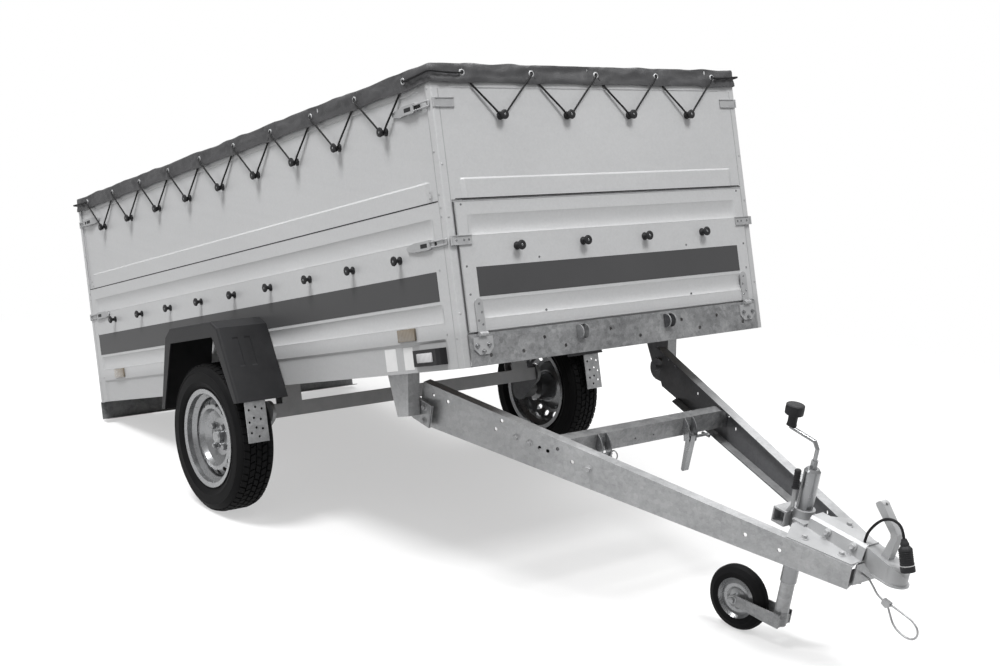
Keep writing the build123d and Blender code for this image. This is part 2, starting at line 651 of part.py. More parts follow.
# Rim in section: outer flange, seats and well, then the dish with its raised shoulder
flange = [(RIM_RADIUS, rim_half), (RIM_RADIUS, rim_half - RIM_SHEET), (RIM_SEAT_RADIUS, rim_half - 6),
          (RIM_SEAT_RADIUS, rim_half - 24), (RIM_WELL_RADIUS, rim_half - 36)]
well = RIM_WELL_RADIUS - RIM_SHEET
seat = RIM_SEAT_RADIUS - RIM_SHEET
back = [(RIM_RADIUS, -rim_half), (seat, -rim_half + 2), (seat, -rim_half + 26), (well, -rim_half + 38)]
dish = [(RIM_HOLE_CIRCLE + 9, 22), (RIM_HOLE_CIRCLE - 8, 32), (RIM_DISH_RADIUS, 33), (RIM_DISH_RADIUS - 10, 18),
        (HUB_RADIUS + 20, DISC_SEAT), (HUB_CAP_RADIUS, DISC_SEAT)]
front = [(well, rim_half - 34), (seat, rim_half - 22), (seat, rim_half - 3)]
rim = turned(flange + mirrored(reversed(flange[1:])) + back + [(well, 8)] + dish
             + [(r, y + RIM_SHEET) for r, y in reversed(dish)] + [(well, 8 + 2 * RIM_SHEET)] + front)
for i in range(RIM_HOLES):
    turn = 2 * pi * i / RIM_HOLES
    spot_x, spot_z = RIM_HOLE_CIRCLE * cos(turn), RIM_HOLE_CIRCLE * sin(turn)
    rim -= rod((spot_x, 0, spot_z), (spot_x, 60, spot_z), RIM_HOLE_RADIUS)
bore = STUB_RADIUS + PIN_CLEARANCE
cap = HUB_CAP_RADIUS - 1
hub = turned([(bore, -tyre_half + 12), (HUB_RADIUS, -tyre_half + 12), (HUB_RADIUS + 14, DISC_SEAT - 6),
              (HUB_RADIUS + 14, DISC_SEAT), (cap, DISC_SEAT), (cap, 24), (cap - 5, 30), (0, 30), (0, 24), (bore, 24)])
for node, solid in [("tyre", tyre), ("rim", rim), ("hub", hub)]:
    right = AXLE * Pos(0, -WHEEL_MIDDLE, 0) * Rot(0, 0, 180) * solid
    nodes["wheel_" + node + "_right"] = ("box", [right])
    nodes["wheel_" + node + "_left"] = ("box", [left(right)])

# Mudguards: a folded arch over each tyre, with a lip along its outer edge
FENDER_OUTER = HALF_WIDTH + FENDER_WIDTH
# Arch: ahead of the axle, height above the sill
ARCH = [(-310, FENDER_BOTTOM), (-210, 225), (-165, 252), (165, 252), (210, 225), (300, FENDER_BOTTOM)]


def arch(legs_in, top_in):
    points = []
    for ahead, up in ARCH:
        side = 0 if abs(ahead) < 200 else (-legs_in if ahead > 0 else legs_in)
        points.append((-AXLE_BACK + ahead + side, up if up == FENDER_BOTTOM else up - top_in))
    return points


guard = prism_y(arch(0, 0), -FENDER_OUTER, -HALF_WIDTH)
guard -= prism_y(arch(FENDER_SHEET, FENDER_SHEET), -FENDER_OUTER, -HALF_WIDTH)
lip = prism_y(arch(0, 0), -FENDER_OUTER, -FENDER_OUTER + FENDER_SHEET)
lip -= prism_y(arch(FENDER_LIP_LEG, FENDER_LIP_TOP), -FENDER_OUTER, -FENDER_OUTER + FENDER_SHEET)
guard += lip
# Its outer edge is rounded, from the toe of one leg over the top to the toe of the other
outer_edges = []
for edge in guard.edges():
    ends = [edge @ 0, edge @ 1]
    at_face = all(abs(p.Y + FENDER_OUTER) < 0.01 for p in ends)
    corners_met = sum(1 for p in ends for x, z in arch(0, 0) if hypot(p.X - x, p.Z - z) < 0.01)
    if at_face and corners_met == 2 and any(p.Z > FENDER_BOTTOM + 1 for p in ends):
        outer_edges.append(edge)
guard = fillet(outer_edges, FENDER_ROUND)
# Two shallow grooves down the front leg: share of the width
(toe_ahead, toe_z), (knee_ahead, knee_z) = ARCH[-1], ARCH[-2]


def front_leg(z, depth):
    share = (z - toe_z) / (knee_z - toe_z)
    return (-AXLE_BACK + toe_ahead + (knee_ahead - toe_ahead) * share - depth, z)


for share in (0.46, 0.7):
    y = -HALF_WIDTH - FENDER_WIDTH * share
    guard -= prism_y([front_leg(80, -1), front_leg(190, -1), front_leg(182, FENDER_GROOVE_DEPTH),
                      front_leg(88, FENDER_GROOVE_DEPTH)], y - FENDER_GROOVE / 2, y + FENDER_GROOVE / 2)
nodes["fender_right"] = ("box", [guard])
nodes["fender_left"] = ("box", [left(guard)])

# Perforated bracket that hangs from the mudguard's front leg
toe_x = -AXLE_BACK + toe_ahead - FENDER_SHEET
lap_x = toe_x + (knee_ahead - toe_ahead) * BRACKET_LAP / (knee_z - FENDER_SHEET - toe_z)
foot_z = toe_z - BRACKET_DROP
bracket_y = -HALF_WIDTH - BRACKET_OFFSET
bracket = prism_y([(toe_x - BRACKET_SHEET, foot_z), (toe_x, foot_z), (toe_x, toe_z), (lap_x, toe_z + BRACKET_LAP),
                   (lap_x - BRACKET_SHEET, toe_z + BRACKET_LAP), (toe_x - BRACKET_SHEET, toe_z)],
                  bracket_y - BRACKET_WIDTH, bracket_y)
# Holes in the bracket: share of its width, share of its drop
for across, down in [(0.2, 0.2), (0.5, 0.14), (0.82, 0.2), (0.3, 0.45), (0.62, 0.4), (0.85, 0.5), (0.25, 0.68),
                     (0.55, 0.64), (0.8, 0.76), (0.45, 0.86)]:
    y, z = bracket_y - across * BRACKET_WIDTH, toe_z - down * BRACKET_DROP
    bracket -= rod((toe_x - BRACKET_SHEET - 1, y, z), (toe_x + 1, y, z), 4.5)
nodes["fender_brackets"] = ("box", both(bracket))

# Tipping pivot: tapered folded posts under the box with a pin each
EYE_INNER = EYE_OFFSET - EYE_PLATE
POST_OUT = EYE_OFFSET + POST_GAP
post_top, post_foot = RAIL_HEIGHT - BEARER_HEIGHT, -PIVOT_DROP - 30


def post_side(front_in):
    top, foot = PIVOT_POST_TOP / 2, PIVOT_POST_FOOT / 2
    return [(-PIVOT_BACK - top, post_top), (-PIVOT_BACK + top - front_in, post_top),
            (-PIVOT_BACK + foot - front_in, post_foot), (-PIVOT_BACK - foot, post_foot)]


post_far = POST_OUT + PIVOT_POST_WIDTH
pivot_post = prism_y(post_side(0), -post_far, -POST_OUT)
pivot_post -= prism_y(post_side(PIVOT_POST_SHEET), -post_far + PIVOT_POST_SHEET, -POST_OUT - PIVOT_POST_SHEET)
pivot_post += rod((-PIVOT_BACK, -post_far, -PIVOT_DROP), (-PIVOT_BACK, -EYE_INNER + 16, -PIVOT_DROP),
                  PIVOT_PIN_RADIUS)
nodes["pivot_posts"] = ("box", both(pivot_post))

# Drawbar, in its own frame from the pivot: eyes, arms, crossbar
eye_end = ARM_START + 66
eye = prism_y([(eye_end, -EYE_BOTTOM), (eye_end, EYE_TOP), (-EYE_ROUND * 0.5, EYE_TOP), (-EYE_ROUND, 10),
               ((-EYE_ROUND * 0.75, -EYE_ROUND * 0.75), (0, -EYE_BOTTOM))], -EYE_OFFSET, -EYE_INNER)
eye -= rod((0, -EYE_OFFSET - 1, 0), (0, -EYE_INNER + 1, 0), PIVOT_PIN_RADIUS + PIN_CLEARANCE)
nodes["pivot_eyes"] = ("draw", both(eye))

arm_run = hypot(ARM_END - ARM_START, EYE_INNER - ARM_END_OFFSET)
arm_turn = degrees(atan2(EYE_INNER - ARM_END_OFFSET, ARM_END - ARM_START))


web = prism_y([(30, -ARM_BOTTOM), (arm_run, -ARM_BOTTOM), (arm_run, ARM_TOP_FRONT), (0, ARM_TOP_REAR),
               (0, -ARM_BOTTOM + 30)], 0, ARM_SHEET)
top_flange = prism_y([(0, ARM_TOP_REAR - ARM_SHEET), (arm_run, ARM_TOP_FRONT - ARM_SHEET), (arm_run, ARM_TOP_FRONT),
                      (0, ARM_TOP_REAR)], 0, ARM_FLANGE)
low_flange = prism_z([(ARM_FLANGE_LAG, 0), (arm_run, 0), (arm_run, ARM_FLANGE), (ARM_FLANGE_LAG + 30, ARM_FLANGE)],
                     -ARM_BOTTOM, -ARM_BOTTOM + ARM_SHEET)
beam = web + top_flange + low_flange
# Round holes in the web: along the arm, above its lower edge
for along, up in [(43, 109), (100, 104), (287, 75), (304, 108), (449, 69), (479, 68), (511, 86), (566, 63),
                  (1138, 44), (1243, 37)]:
    beam -= rod((along, -1, -ARM_BOTTOM + up), (along, ARM_SHEET + 1, -ARM_BOTTOM + up), ARM_HOLE)
right_arm = Pos(ARM_START, -EYE_INNER, 0) * Rot(0, 0, arm_turn) * beam
nodes["drawbar_arm_right"] = ("draw", [right_arm])
nodes["drawbar_arm_left"] = ("draw", [left(right_arm)])


def arm_inside(x):
    """Offset of the web's inner face from the middle, at a distance from the pivot."""
    share = (x - ARM_START) / (ARM_END - ARM_START)
    return EYE_INNER + (ARM_END_OFFSET - EYE_INNER) * share - ARM_SHEET / cos(radians(arm_turn))


def arm_top(x):
    share = (x - ARM_START) / (ARM_END - ARM_START)
    return ARM_TOP_REAR + (ARM_TOP_FRONT - ARM_TOP_REAR) * share


bar_back, bar_front = CROSSBAR_X, CROSSBAR_X + CROSSBAR_DEPTH
bar_low = CROSSBAR_TOP - CROSSBAR_HEIGHT
bar = prism_z([(bar_back, -arm_inside(bar_back)), (bar_front, -arm_inside(bar_front)),
               (bar_front, arm_inside(bar_front)), (bar_back, arm_inside(bar_back))], bar_low, CROSSBAR_TOP)
bar -= block(bar_back + CROSSBAR_SHEET, bar_front - CROSSBAR_SHEET, -BOX_WIDTH, BOX_WIDTH,
             bar_low + CROSSBAR_SHEET, CROSSBAR_TOP - CROSSBAR_SHEET)
for across in (-CROSSBAR_DEPTH, CROSSBAR_DEPTH):
    bar -= rod((bar_front - CROSSBAR_SHEET - 1, across, bar_low + 22), (bar_front + 1, across, bar_low + 22),
               ARM_HOLE / 2)
nodes["drawbar_crossbar"] = ("draw", [bar])


# Tilt locks on the crossbar: two curved cheeks with a bridge, on the left with a pin and a hanging lever
def lock_cheeks():
    cheek_low = CROSSBAR_TOP - 74
    reach = bar_front + LOCK_REACH
    outline = [(bar_front, CROSSBAR_TOP), ((bar_front + LOCK_REACH * 0.78, CROSSBAR_TOP - 26), (reach, cheek_low)),
               (reach - 18, cheek_low), ((bar_front + 10, CROSSBAR_TOP - 56), (bar_front, CROSSBAR_TOP - 42))]
    half = LOCK_CHEEK_GAP / 2
    cheeks = prism_y(outline, half, half + LOCK_CHEEK) + prism_y(outline, -half - LOCK_CHEEK, -half)
    bridge = block(bar_front, bar_front + LOCK_CHEEK, -half - 1, half + 1, CROSSBAR_TOP - 30, CROSSBAR_TOP - 12)
    return cheeks + bridge + rod((reach - 9, -half - 1, cheek_low + 12), (reach - 9, half + 1, cheek_low + 12), 6)


pin_x, pin_z = bar_front + LOCK_REACH - 9, CROSSBAR_TOP - 62
lever = prism_y([(pin_x - 9, pin_z + 10), (pin_x + 12, pin_z + 10), (pin_x + 12, pin_z - 20), (pin_x + 8, pin_z - 110),
                 ((pin_x + 1, pin_z - 117), (pin_x - 6, pin_z - 110)), (pin_x - 9, pin_z - 20)], -11, 11)
handle_pin = rod((pin_x, LOCK_CHEEK_GAP / 2, pin_z), (pin_x, 78, pin_z), 5)
handle_pin += rod((pin_x - 16, 72, pin_z), (pin_x + 16, 72, pin_z), 5)
left_lock = Pos(0, LOCK_OFFSET, 0) * (lock_cheeks() + lever + handle_pin)
ring = Pos(pin_x + 14, LOCK_CHEEK_GAP / 2 + 12, pin_z) * Rot(90, 0, 0) * Torus(14, 2)
short_pin = rod((pin_x, 0, pin_z), (pin_x, LOCK_CHEEK_GAP / 2 + 14, pin_z), 4)
right_lock = Pos(0, -LOCK_OFFSET, 0) * (lock_cheeks() + short_pin + ring)
nodes["tilt_locks"] = ("draw", [left_lock, right_lock])

# Coupling bracket: a hat-shaped pressing on the arms' top flanges
bracket_end = ARM_END - 6
half = COUPLING_WIDTH / 2
seat_start, seat_end = arm_top(COUPLING_START), arm_top(bracket_end)
flange_plate = prism_y([(COUPLING_START, seat_start), (bracket_end, seat_end), (bracket_end, seat_end + COUPLING_SHEET),
                        (COUPLING_START, seat_start + COUPLING_SHEET)], -BOX_WIDTH / 4, BOX_WIDTH / 4)
# Plan of the flanges: a tongue behind, spreading to the arms
spread = COUPLING_START + COUPLING_SPREAD
spread_side, end_side = arm_inside(spread), arm_inside(bracket_end)
flange_plate &= prism_z([(COUPLING_START, -COUPLING_WIDTH), (spread, -spread_side), (bracket_end, -end_side),
                         (bracket_end, end_side), (spread, spread_side), (COUPLING_START, COUPLING_WIDTH)], 0, 100)
hat_start = JACK_X + 48
hat_roof, hat_shoulder = COUPLING_TOP - COUPLING_SHEET, COUPLING_TOP - 8
hat = prism_x([(-half - 10, seat_end), (-half, hat_shoulder), (-half + 8, COUPLING_TOP), (half - 8, COUPLING_TOP),
               (half, hat_shoulder), (half + 10, seat_end)], hat_start, bracket_end)
half_in = half - COUPLING_SHEET
hat -= prism_x([(-half_in - 10, seat_end - 1), (-half_in, hat_shoulder), (-half + 8, hat_roof), (half - 8, hat_roof),
                (half_in, hat_shoulder), (half_in + 10, seat_end - 1)], hat_start, bracket_end)
hat -= prism_y([(hat_start, 0), (bracket_end, 0), (bracket_end, seat_end), (hat_start, arm_top(hat_start))],
               -200, 200)
jack_cut = JACK_TUBE_RADIUS + CLAMP_WALL
flange_plate -= block(COUPLING_START, JACK_X + jack_cut, -jack_cut, jack_cut, 0, 100)
nodes["coupling_bracket"] = ("draw", [flange_plate + hat])

# Coupling head: a pressed nose with a rolled lip and a ball socket open to below
socket_x, socket_z = COUPLING_TIP - BALL_BACK, 4.0
nose_half = half - COUPLING_SHEET
head_back, shoulder_x = bracket_end, COUPLING_TIP - 2 * BALL_BACK


def head_plan(out):
    """Plan of the head, parallel sides and a round nose, grown by a margin."""
    side = nose_half + out
    tip = ((COUPLING_TIP + out, 0), (socket_x, side + 4))
    return [(head_back, -side), (socket_x, -side - 4), tip, (head_back, side)]


head_low = -6.0
tip_x = COUPLING_TIP + 1
nose = prism_z(head_plan(0), head_low, hat_roof)
nose &= prism_y([(head_back, seat_end), (shoulder_x, head_low), (tip_x, head_low), (tip_x, 20),
                 ((COUPLING_TIP - 9, 36), (socket_x, 46)), (head_back, hat_roof)], -BOX_WIDTH / 4, BOX_WIDTH / 4)
lip = prism_z(head_plan(COUPLING_LIP), head_low, head_low + COUPLING_SHEET)
nose += lip & block(shoulder_x, COUPLING_TIP + 20, -100, 100, -20, 20)
nose -= Pos(socket_x, 0, socket_z) * Sphere(BALL_RADIUS + BALL_CLEARANCE)
nose -= rod((socket_x, 0, head_low - 1), (socket_x, 0, socket_z), BALL_RADIUS + BALL_CLEARANCE)
nodes["coupling_head"] = ("draw", [nose])

# Coupling handle: a cranked channel that rises from the head and leans back, with a hole near its end
heel_x, knee_x, end_x = socket_x - 30, socket_x - 5, COUPLING_TIP - 124
handle_outline = [(heel_x - 14, 40), (heel_x + 14, 40), (knee_x - 1, 112), (knee_x, 128), (end_x + 14, 188),
                  ((end_x + 4, 195), (end_x - 7, 192)), (end_x - 14, 184), (end_x - 8, 176), (knee_x - 23, 122),
                  (knee_x - 20, 112)]
handle_half = HANDLE_WIDTH / 2
handle = prism_y(handle_outline, -handle_half, handle_half)
hollow = prism_y(handle_outline, -handle_half + HANDLE_SHEET, handle_half - HANDLE_SHEET)
handle -= Pos(-HANDLE_SHEET, 0, -HANDLE_SHEET) * hollow
handle -= rod((end_x - 12, 0, 166), (end_x + 20, 0, 198), HANDLE_HOLE)
handle -= prism_y([(head_back - 60, 0), (tip_x + 20, 0), (tip_x + 20, 20), (tip_x, 20), (COUPLING_TIP - 9, 36),
                   (socket_x, 46), (head_back, hat_roof), (head_back - 60, hat_roof)], -60, 60)
nodes["coupling_handle"] = ("draw", [handle])

# Plug parked in front of the handle, with its cable from the bracket
PLUG_LOW, PLUG_HIGH = (COUPLING_TIP + 12, -22.0, 52.0), (COUPLING_TIP - 24, -22.0, 134.0)
nodes["plug"] = ("draw", [rod(PLUG_LOW, PLUG_HIGH, PLUG_RADIUS)])


def cord_tube(route, radius):
    """Tube along straight runs joined by arcs as large as the runs allow."""
    points = [Vector(*p) for p in route]
    radii = []
    for a, b, c in zip(points, points[1:], points[2:]):
        turn = radians((b - a).get_angle(c - b))
        radii.append(0.45 * min((b - a).length, (c - b).length) / tan(turn / 2))
    path = FilletPolyline(*points, radius=radii)
    section = Plane(origin=path @ 0, z_dir=path % 0) * Circle(radius)
    tube = sweep(section, path=path)
    print("cord length", round(path.length, 1), "least radius", round(min(radii), 1),
          "volume share", round(tube.volume / (pi * radius ** 2 * path.length), 4))
    return tube


# Cable of the plug: along, across, up from the pivot
PLUG_CABLE = [(1372, -17, COUPLING_TOP), (1372, -17, 88), (1383, -20, 113), (1400, -24, 139), (1420, -27.5, 160),
              (1446, -28, 172), (1470, -25, 166), (1481.52, -22, 148.76), PLUG_HIGH]
nodes["plug_cable"] = ("draw", [cord_tube(PLUG_CABLE, PLUG_CABLE_RADIUS)])

# Front plate between the arms, and the safety cable with a crimped ferrule and a loop
front_x = ARM_END - 8
plate_back = front_x - 60
tip = (ARM_FLANGE - ARM_SHEET) / cos(radians(arm_turn))
front_plate = prism_z([(plate_back, tip - arm_inside(plate_back)), (front_x, tip - arm_inside(front_x)),
                       (front_x, arm_inside(front_x) - tip), (plate_back, arm_inside(plate_back) - tip)],
                      -ARM_BOTTOM, ARM_TOP_FRONT - 6)
front_plate -= block(plate_back, front_x - ARM_SHEET, -120, 120, -ARM_BOTTOM + ARM_SHEET, ARM_TOP_FRONT)
nodes["drawbar_front_plate"] = ("draw", [front_plate])
SAFETY_CABLE = [(front_x, -20, -21), (1408, -20, -21), (1429, -20, -36), (1451.1, -20, -56.2), (1470.7, -20, -60.4)]
SAFETY_LOOP = [(1496.4, -20, -61), (1520.3, -20, -63.4), (1546, -20, -66.5), (1570, -20, -71), (1588, -20, -82),
               (1595, -20, -99), (1588, -20, -116), (1571, -20, -124), (1550, -20, -123), (1529, -20, -117),
               (1514, -20, -106.5), (1503.4, -20, -91.8), (1490.2, -20, -71.8)]
nodes["safety_cable"] = ("draw", [cord_tube(SAFETY_CABLE, SAFETY_CABLE_RADIUS)])
nodes["safety_loop"] = ("draw", [cord_tube(SAFETY_LOOP, SAFETY_CABLE_RADIUS)])
nodes["safety_ferrule"] = ("draw", [prism_y([(1472.7, -52.7), (1496.6, -56), (1495.6, -66), (1494.2, -68.8),
                                             (1485.9, -74.3), (1469.3, -68.3)], -27, -13)])

# Jack: clamp of a collar and a square tube across, outer tube, crank, leg, fork and wheel
collar = JACK_TUBE_RADIUS + CLAMP_WALL
foot_top = seat_start + COUPLING_SHEET + 5
tube_front = JACK_X - JACK_TUBE_RADIUS + 4
tube_back, tube_top = tube_front - CLAMP_TUBE, CLAMP_TUBE_LOW + CLAMP_TUBE
tube_near, tube_far = -collar - 20, collar
clamp = rod((JACK_X, 0, CLAMP_TUBE_LOW), (JACK_X, 0, CLAMP_TOP), collar)
clamp += block(tube_back, tube_front, tube_near, tube_far, CLAMP_TUBE_LOW, tube_top)
clamp -= block(tube_back + CLAMP_TUBE_WALL, tube_front - CLAMP_TUBE_WALL, tube_near, -JACK_TUBE_RADIUS + 4,
               CLAMP_TUBE_LOW + CLAMP_TUBE_WALL, tube_top - CLAMP_TUBE_WALL)
foot = block(JACK_X, JACK_X + CLAMP_FOOT, -collar - 14, collar + 14, 0, foot_top)
foot -= prism_y([(JACK_X, 0), (JACK_X + 80, 0), (JACK_X + 80, arm_top(JACK_X + 80) + COUPLING_SHEET),
                 (JACK_X, arm_top(JACK_X) + COUPLING_SHEET)], -200, 200)
clamp += foot
clamp -= rod((JACK_X, 0, -50), (JACK_X, 0, 150), JACK_TUBE_RADIUS)
lever_x, lever_y = JACK_X - 16, -collar - 6
clamp += bent_rod([(tube_front - 8, lever_y, tube_top - 2), (lever_x + 2, lever_y, tube_top + 20),
                   (lever_x, lever_y, tube_top + 42), (lever_x - 3, lever_y, tube_top + 82)], 6)
clamp += rod((lever_x - 2, lever_y, tube_top + 74), (lever_x - 5, lever_y, tube_top + 128), GRIP_RADIUS)
nodes["jack_clamp"] = ("draw", [clamp])

tube_bore = JACK_LEG_RADIUS + JACK_CLEARANCE
shoulder = JACK_TUBE_TOP - 8
outer_tube = rod((JACK_X, 0, JACK_TUBE_BOTTOM), (JACK_X, 0, shoulder), JACK_TUBE_RADIUS)
tube_cap = Cone(JACK_TUBE_RADIUS, JACK_TUBE_RADIUS - 6, JACK_TUBE_TOP - shoulder)
outer_tube += Pos(JACK_X, 0, (shoulder + JACK_TUBE_TOP) / 2) * tube_cap
outer_tube -= rod((JACK_X, 0, JACK_TUBE_BOTTOM), (JACK_X, 0, shoulder - 4), tube_bore)
nodes["jack_outer_tube"] = ("draw", [outer_tube])
nut_top = JACK_TUBE_TOP + 24
crank = extrude(Pos(JACK_X, 0, JACK_TUBE_TOP) * RegularPolygon(11, 6), nut_top - JACK_TUBE_TOP)
knob_x, knob_z = JACK_X - CRANK_THROW, JACK_TUBE_TOP + 118
crank += bent_rod([(JACK_X, 0, nut_top - 2), (JACK_X, 0, JACK_TUBE_TOP + 58), (JACK_X - 14, 0, JACK_TUBE_TOP + 76),
                   (knob_x, 0, knob_z - 34), (knob_x, 0, knob_z)], CRANK_RADIUS)
crank += rod((knob_x, 0, knob_z - 28), (knob_x, 0, knob_z + 8), KNOB_NECK_RADIUS)
crank += Pos(knob_x, 0, knob_z + 6) * extrude(RegularPolygon(KNOB_RADIUS, 14), 28)
nodes["jack_crank"] = ("draw", [crank])
leg_bore = JACK_LEG_RADIUS - JACK_LEG_SHEET
leg = rod((JACK_X, 0, JACK_LEG_BOTTOM), (JACK_X, 0, JACK_LEG_TOP), JACK_LEG_RADIUS)
leg -= rod((JACK_X, 0, JACK_LEG_BOTTOM + LEG_PLUG), (JACK_X, 0, JACK_LEG_TOP), leg_bore)
leg += rod((JACK_X, 0, JACK_LEG_BOTTOM - SWIVEL_PIN), (JACK_X, 0, JACK_LEG_BOTTOM + 1), SWIVEL_PIN_RADIUS)
nodes["jack_leg"] = ("draw", [leg])

# Fork: a socket under the leg with a flat strip on each side of the wheel
CASTER = Pos(JACK_X, 0, 0) * Rot(0, 0, FORK_SWIVEL)
fork_top = JACK_LEG_BOTTOM - PIN_CLEARANCE
fork = rod((0, 0, FORK_BOTTOM), (0, 0, fork_top), JACK_LEG_RADIUS)
cheek = JOCKEY_WIDTH / 2 + JOCKEY_SIDE_GAP
strip_round = 15.0
hub_x, hub_z = -FORK_TRAIL, JOCKEY_AXLE_Z
strip = prism_y([(hub_x, hub_z + strip_round), (16, FORK_BOTTOM + 42), (16, FORK_BOTTOM), (-34, FORK_BOTTOM),
                 (hub_x, hub_z - strip_round), ((hub_x - strip_round, hub_z), (hub_x, hub_z + strip_round))],
                cheek, cheek + FORK_STRIP)
fork += strip + left(strip)
fork += block(-JACK_LEG_RADIUS * 0.7, JACK_LEG_RADIUS * 0.7, -cheek - 1, cheek + 1, FORK_BOTTOM, FORK_BOTTOM + 30)
fork -= rod((0, 0, JACK_LEG_BOTTOM - SWIVEL_PIN - 1), (0, 0, fork_top), SWIVEL_PIN_RADIUS + PIN_CLEARANCE)
fork += rod((hub_x, -cheek - 14, hub_z), (hub_x, cheek + 14, hub_z), JOCKEY_BOLT_RADIUS)
nodes["jack_fork"] = ("draw", [CASTER * fork])

jockey_half = JOCKEY_WIDTH / 2
tread_half = jockey_half - 17
jockey_tyre = turned([(JOCKEY_RIM_RADIUS, -jockey_half + 4), (JOCKEY_RADIUS - 22, -jockey_half),
                      (JOCKEY_RADIUS - 6, -jockey_half + 8), (JOCKEY_RADIUS, -tread_half), (JOCKEY_RADIUS, tread_half),
                      (JOCKEY_RADIUS - 6, jockey_half - 8), (JOCKEY_RADIUS - 22, jockey_half),
                      (JOCKEY_RIM_RADIUS, jockey_half - 4)])
bolt_bore = JOCKEY_BOLT_RADIUS + PIN_CLEARANCE
hub_end = jockey_half + JOCKEY_SIDE_GAP - 4
# Pressed rim in section: hub sleeve, ridged disc, outer edge
disc = [(14, hub_end), (14, 12), (28, 8), (34, 13), (44, 13), (JOCKEY_RIM_RADIUS - 8, 8),
        (JOCKEY_RIM_RADIUS, jockey_half - 4)]
jockey_rim = turned([(bolt_bore, -hub_end)] + mirrored(disc) + list(reversed(disc)) + [(bolt_bore, hub_end)])
WHEEL_SPOT = CASTER * Pos(-FORK_TRAIL, 0, JOCKEY_AXLE_Z)
nodes["jockey_tyre"] = ("draw", [WHEEL_SPOT * jockey_tyre])
nodes["jockey_rim"] = ("draw", [WHEEL_SPOT * jockey_rim])

# Standing pose: the drawbar is turned about the pivot, and the box is pitched so that all three wheels meet the floor
DRAW = Pos(-PIVOT_BACK, 0, -PIVOT_DROP) * Rot(0, TIP_ANGLE, 0)
jockey_middle = (DRAW * WHEEL_SPOT).position
span_x = -AXLE_BACK - jockey_middle.X
span_z = -AXLE_DROP - jockey_middle.Z
reach = JOCKEY_RADIUS
for _ in range(4):
    pitch = degrees(atan2(span_x, span_z) + acos((TYRE_RADIUS - reach) / hypot(span_x, span_z)))
    lean = asin(sin(radians(FORK_SWIVEL)) * sin(radians(TIP_ANGLE - pitch)))
    reach = JOCKEY_RADIUS * cos(lean) + tread_half * sin(lean)
PITCHED = Rot(0, -pitch, 0)
floor_z = (PITCHED * AXLE).position.Z - TYRE_RADIUS

placed = {}
for name, (frame, solids) in nodes.items():
    place = PITCHED if frame == "box" else PITCHED * DRAW
    placed[name] = [place * solid for solid in solids]

# Origin under the middle of the whole trailer, cords left out
boxes = []
for name, solids in placed.items():
    if name not in ("plug", "plug_cable", "safety_cable", "safety_loop", "safety_ferrule"):
        boxes += [solid.bounding_box() for solid in solids]
low_x = min(box.min.X for box in boxes)
high_x = max(box.max.X for box in boxes)
STAND = Pos(-(low_x + high_x) / 2, 0, -floor_z)

os.makedirs("parts", exist_ok=True)
for name, solids in placed.items():
    shapes = []
    for solid in solids:
        shapes += (STAND * solid).solids()
    export_step(Compound(children=shapes) if len(shapes) > 1 else shapes[0], "parts/" + name + ".step")
print("pitch", round(pitch, 4), "shift", round(-(low_x + high_x) / 2, 3), round(-floor_z, 3))
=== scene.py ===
# %% [markdown]
# # A tipping utility trailer under its flat cover
# The trailer stands on two road wheels and its jack. The frame's solids give every size and place, in metres.
# This lesson adds what the solids lack: finishes, cloth, cord, tread, fasteners and small trim.

# %% Load the fixed frame
import json
import math

import bpy
from mathutils import Matrix, Vector, noise


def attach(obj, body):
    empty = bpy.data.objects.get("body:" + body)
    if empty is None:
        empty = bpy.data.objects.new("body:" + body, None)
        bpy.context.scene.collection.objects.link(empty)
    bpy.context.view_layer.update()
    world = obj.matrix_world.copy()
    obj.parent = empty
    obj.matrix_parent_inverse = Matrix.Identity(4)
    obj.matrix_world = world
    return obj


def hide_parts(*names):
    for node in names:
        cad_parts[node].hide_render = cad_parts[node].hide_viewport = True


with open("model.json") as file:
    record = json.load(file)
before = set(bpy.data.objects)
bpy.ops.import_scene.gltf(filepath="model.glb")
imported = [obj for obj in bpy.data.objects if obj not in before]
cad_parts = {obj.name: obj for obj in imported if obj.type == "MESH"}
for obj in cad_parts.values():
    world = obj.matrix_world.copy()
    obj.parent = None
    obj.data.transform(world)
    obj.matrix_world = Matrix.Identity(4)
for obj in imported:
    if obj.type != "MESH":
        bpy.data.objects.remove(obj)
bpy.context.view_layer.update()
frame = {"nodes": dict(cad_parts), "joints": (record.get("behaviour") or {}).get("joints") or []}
nodes = frame["nodes"]

# %% [markdown]
# The box is pitched and the drawbar is turned against it, so each gets a matrix of its own axes: ahead, left, up.
# A piece is then modelled level, in plain numbers, and its mesh is carried into place by that matrix.
# The hinges of the two gates lie on one line of the box, and the jack's leg slides along the drawbar's own up.

# %% Axes of the box, the drawbar and the wheels
joint = {one["name"]: one for one in frame["joints"]}
LEFT = Vector((0, 1, 0))
HINGE_AHEAD = 0.0078
HINGE_UP = 0.0937


def spot(name):
    return Vector(joint[name]["pos_m"])


def own_axes(origin, ahead, left, up):
    return Matrix.Translation(origin) @ Matrix((ahead, left, up)).transposed().to_4x4()


box_ahead = (spot("front_gate_hinge") - spot("tailgate_hinge")).normalized()
box_up = box_ahead.cross(LEFT)
BOX = own_axes(spot("front_gate_hinge") - box_ahead * HINGE_AHEAD - box_up * HINGE_UP, box_ahead, LEFT, box_up)
draw_up = Vector(joint["jack_slide"]["axis"])
DRAW = own_axes(spot("bed_tilt"), LEFT.cross(draw_up), LEFT, draw_up)
PITCH = math.atan2(box_ahead.z, box_ahead.x)
print("box pitched by", round(math.degrees(PITCH), 2), "degrees")

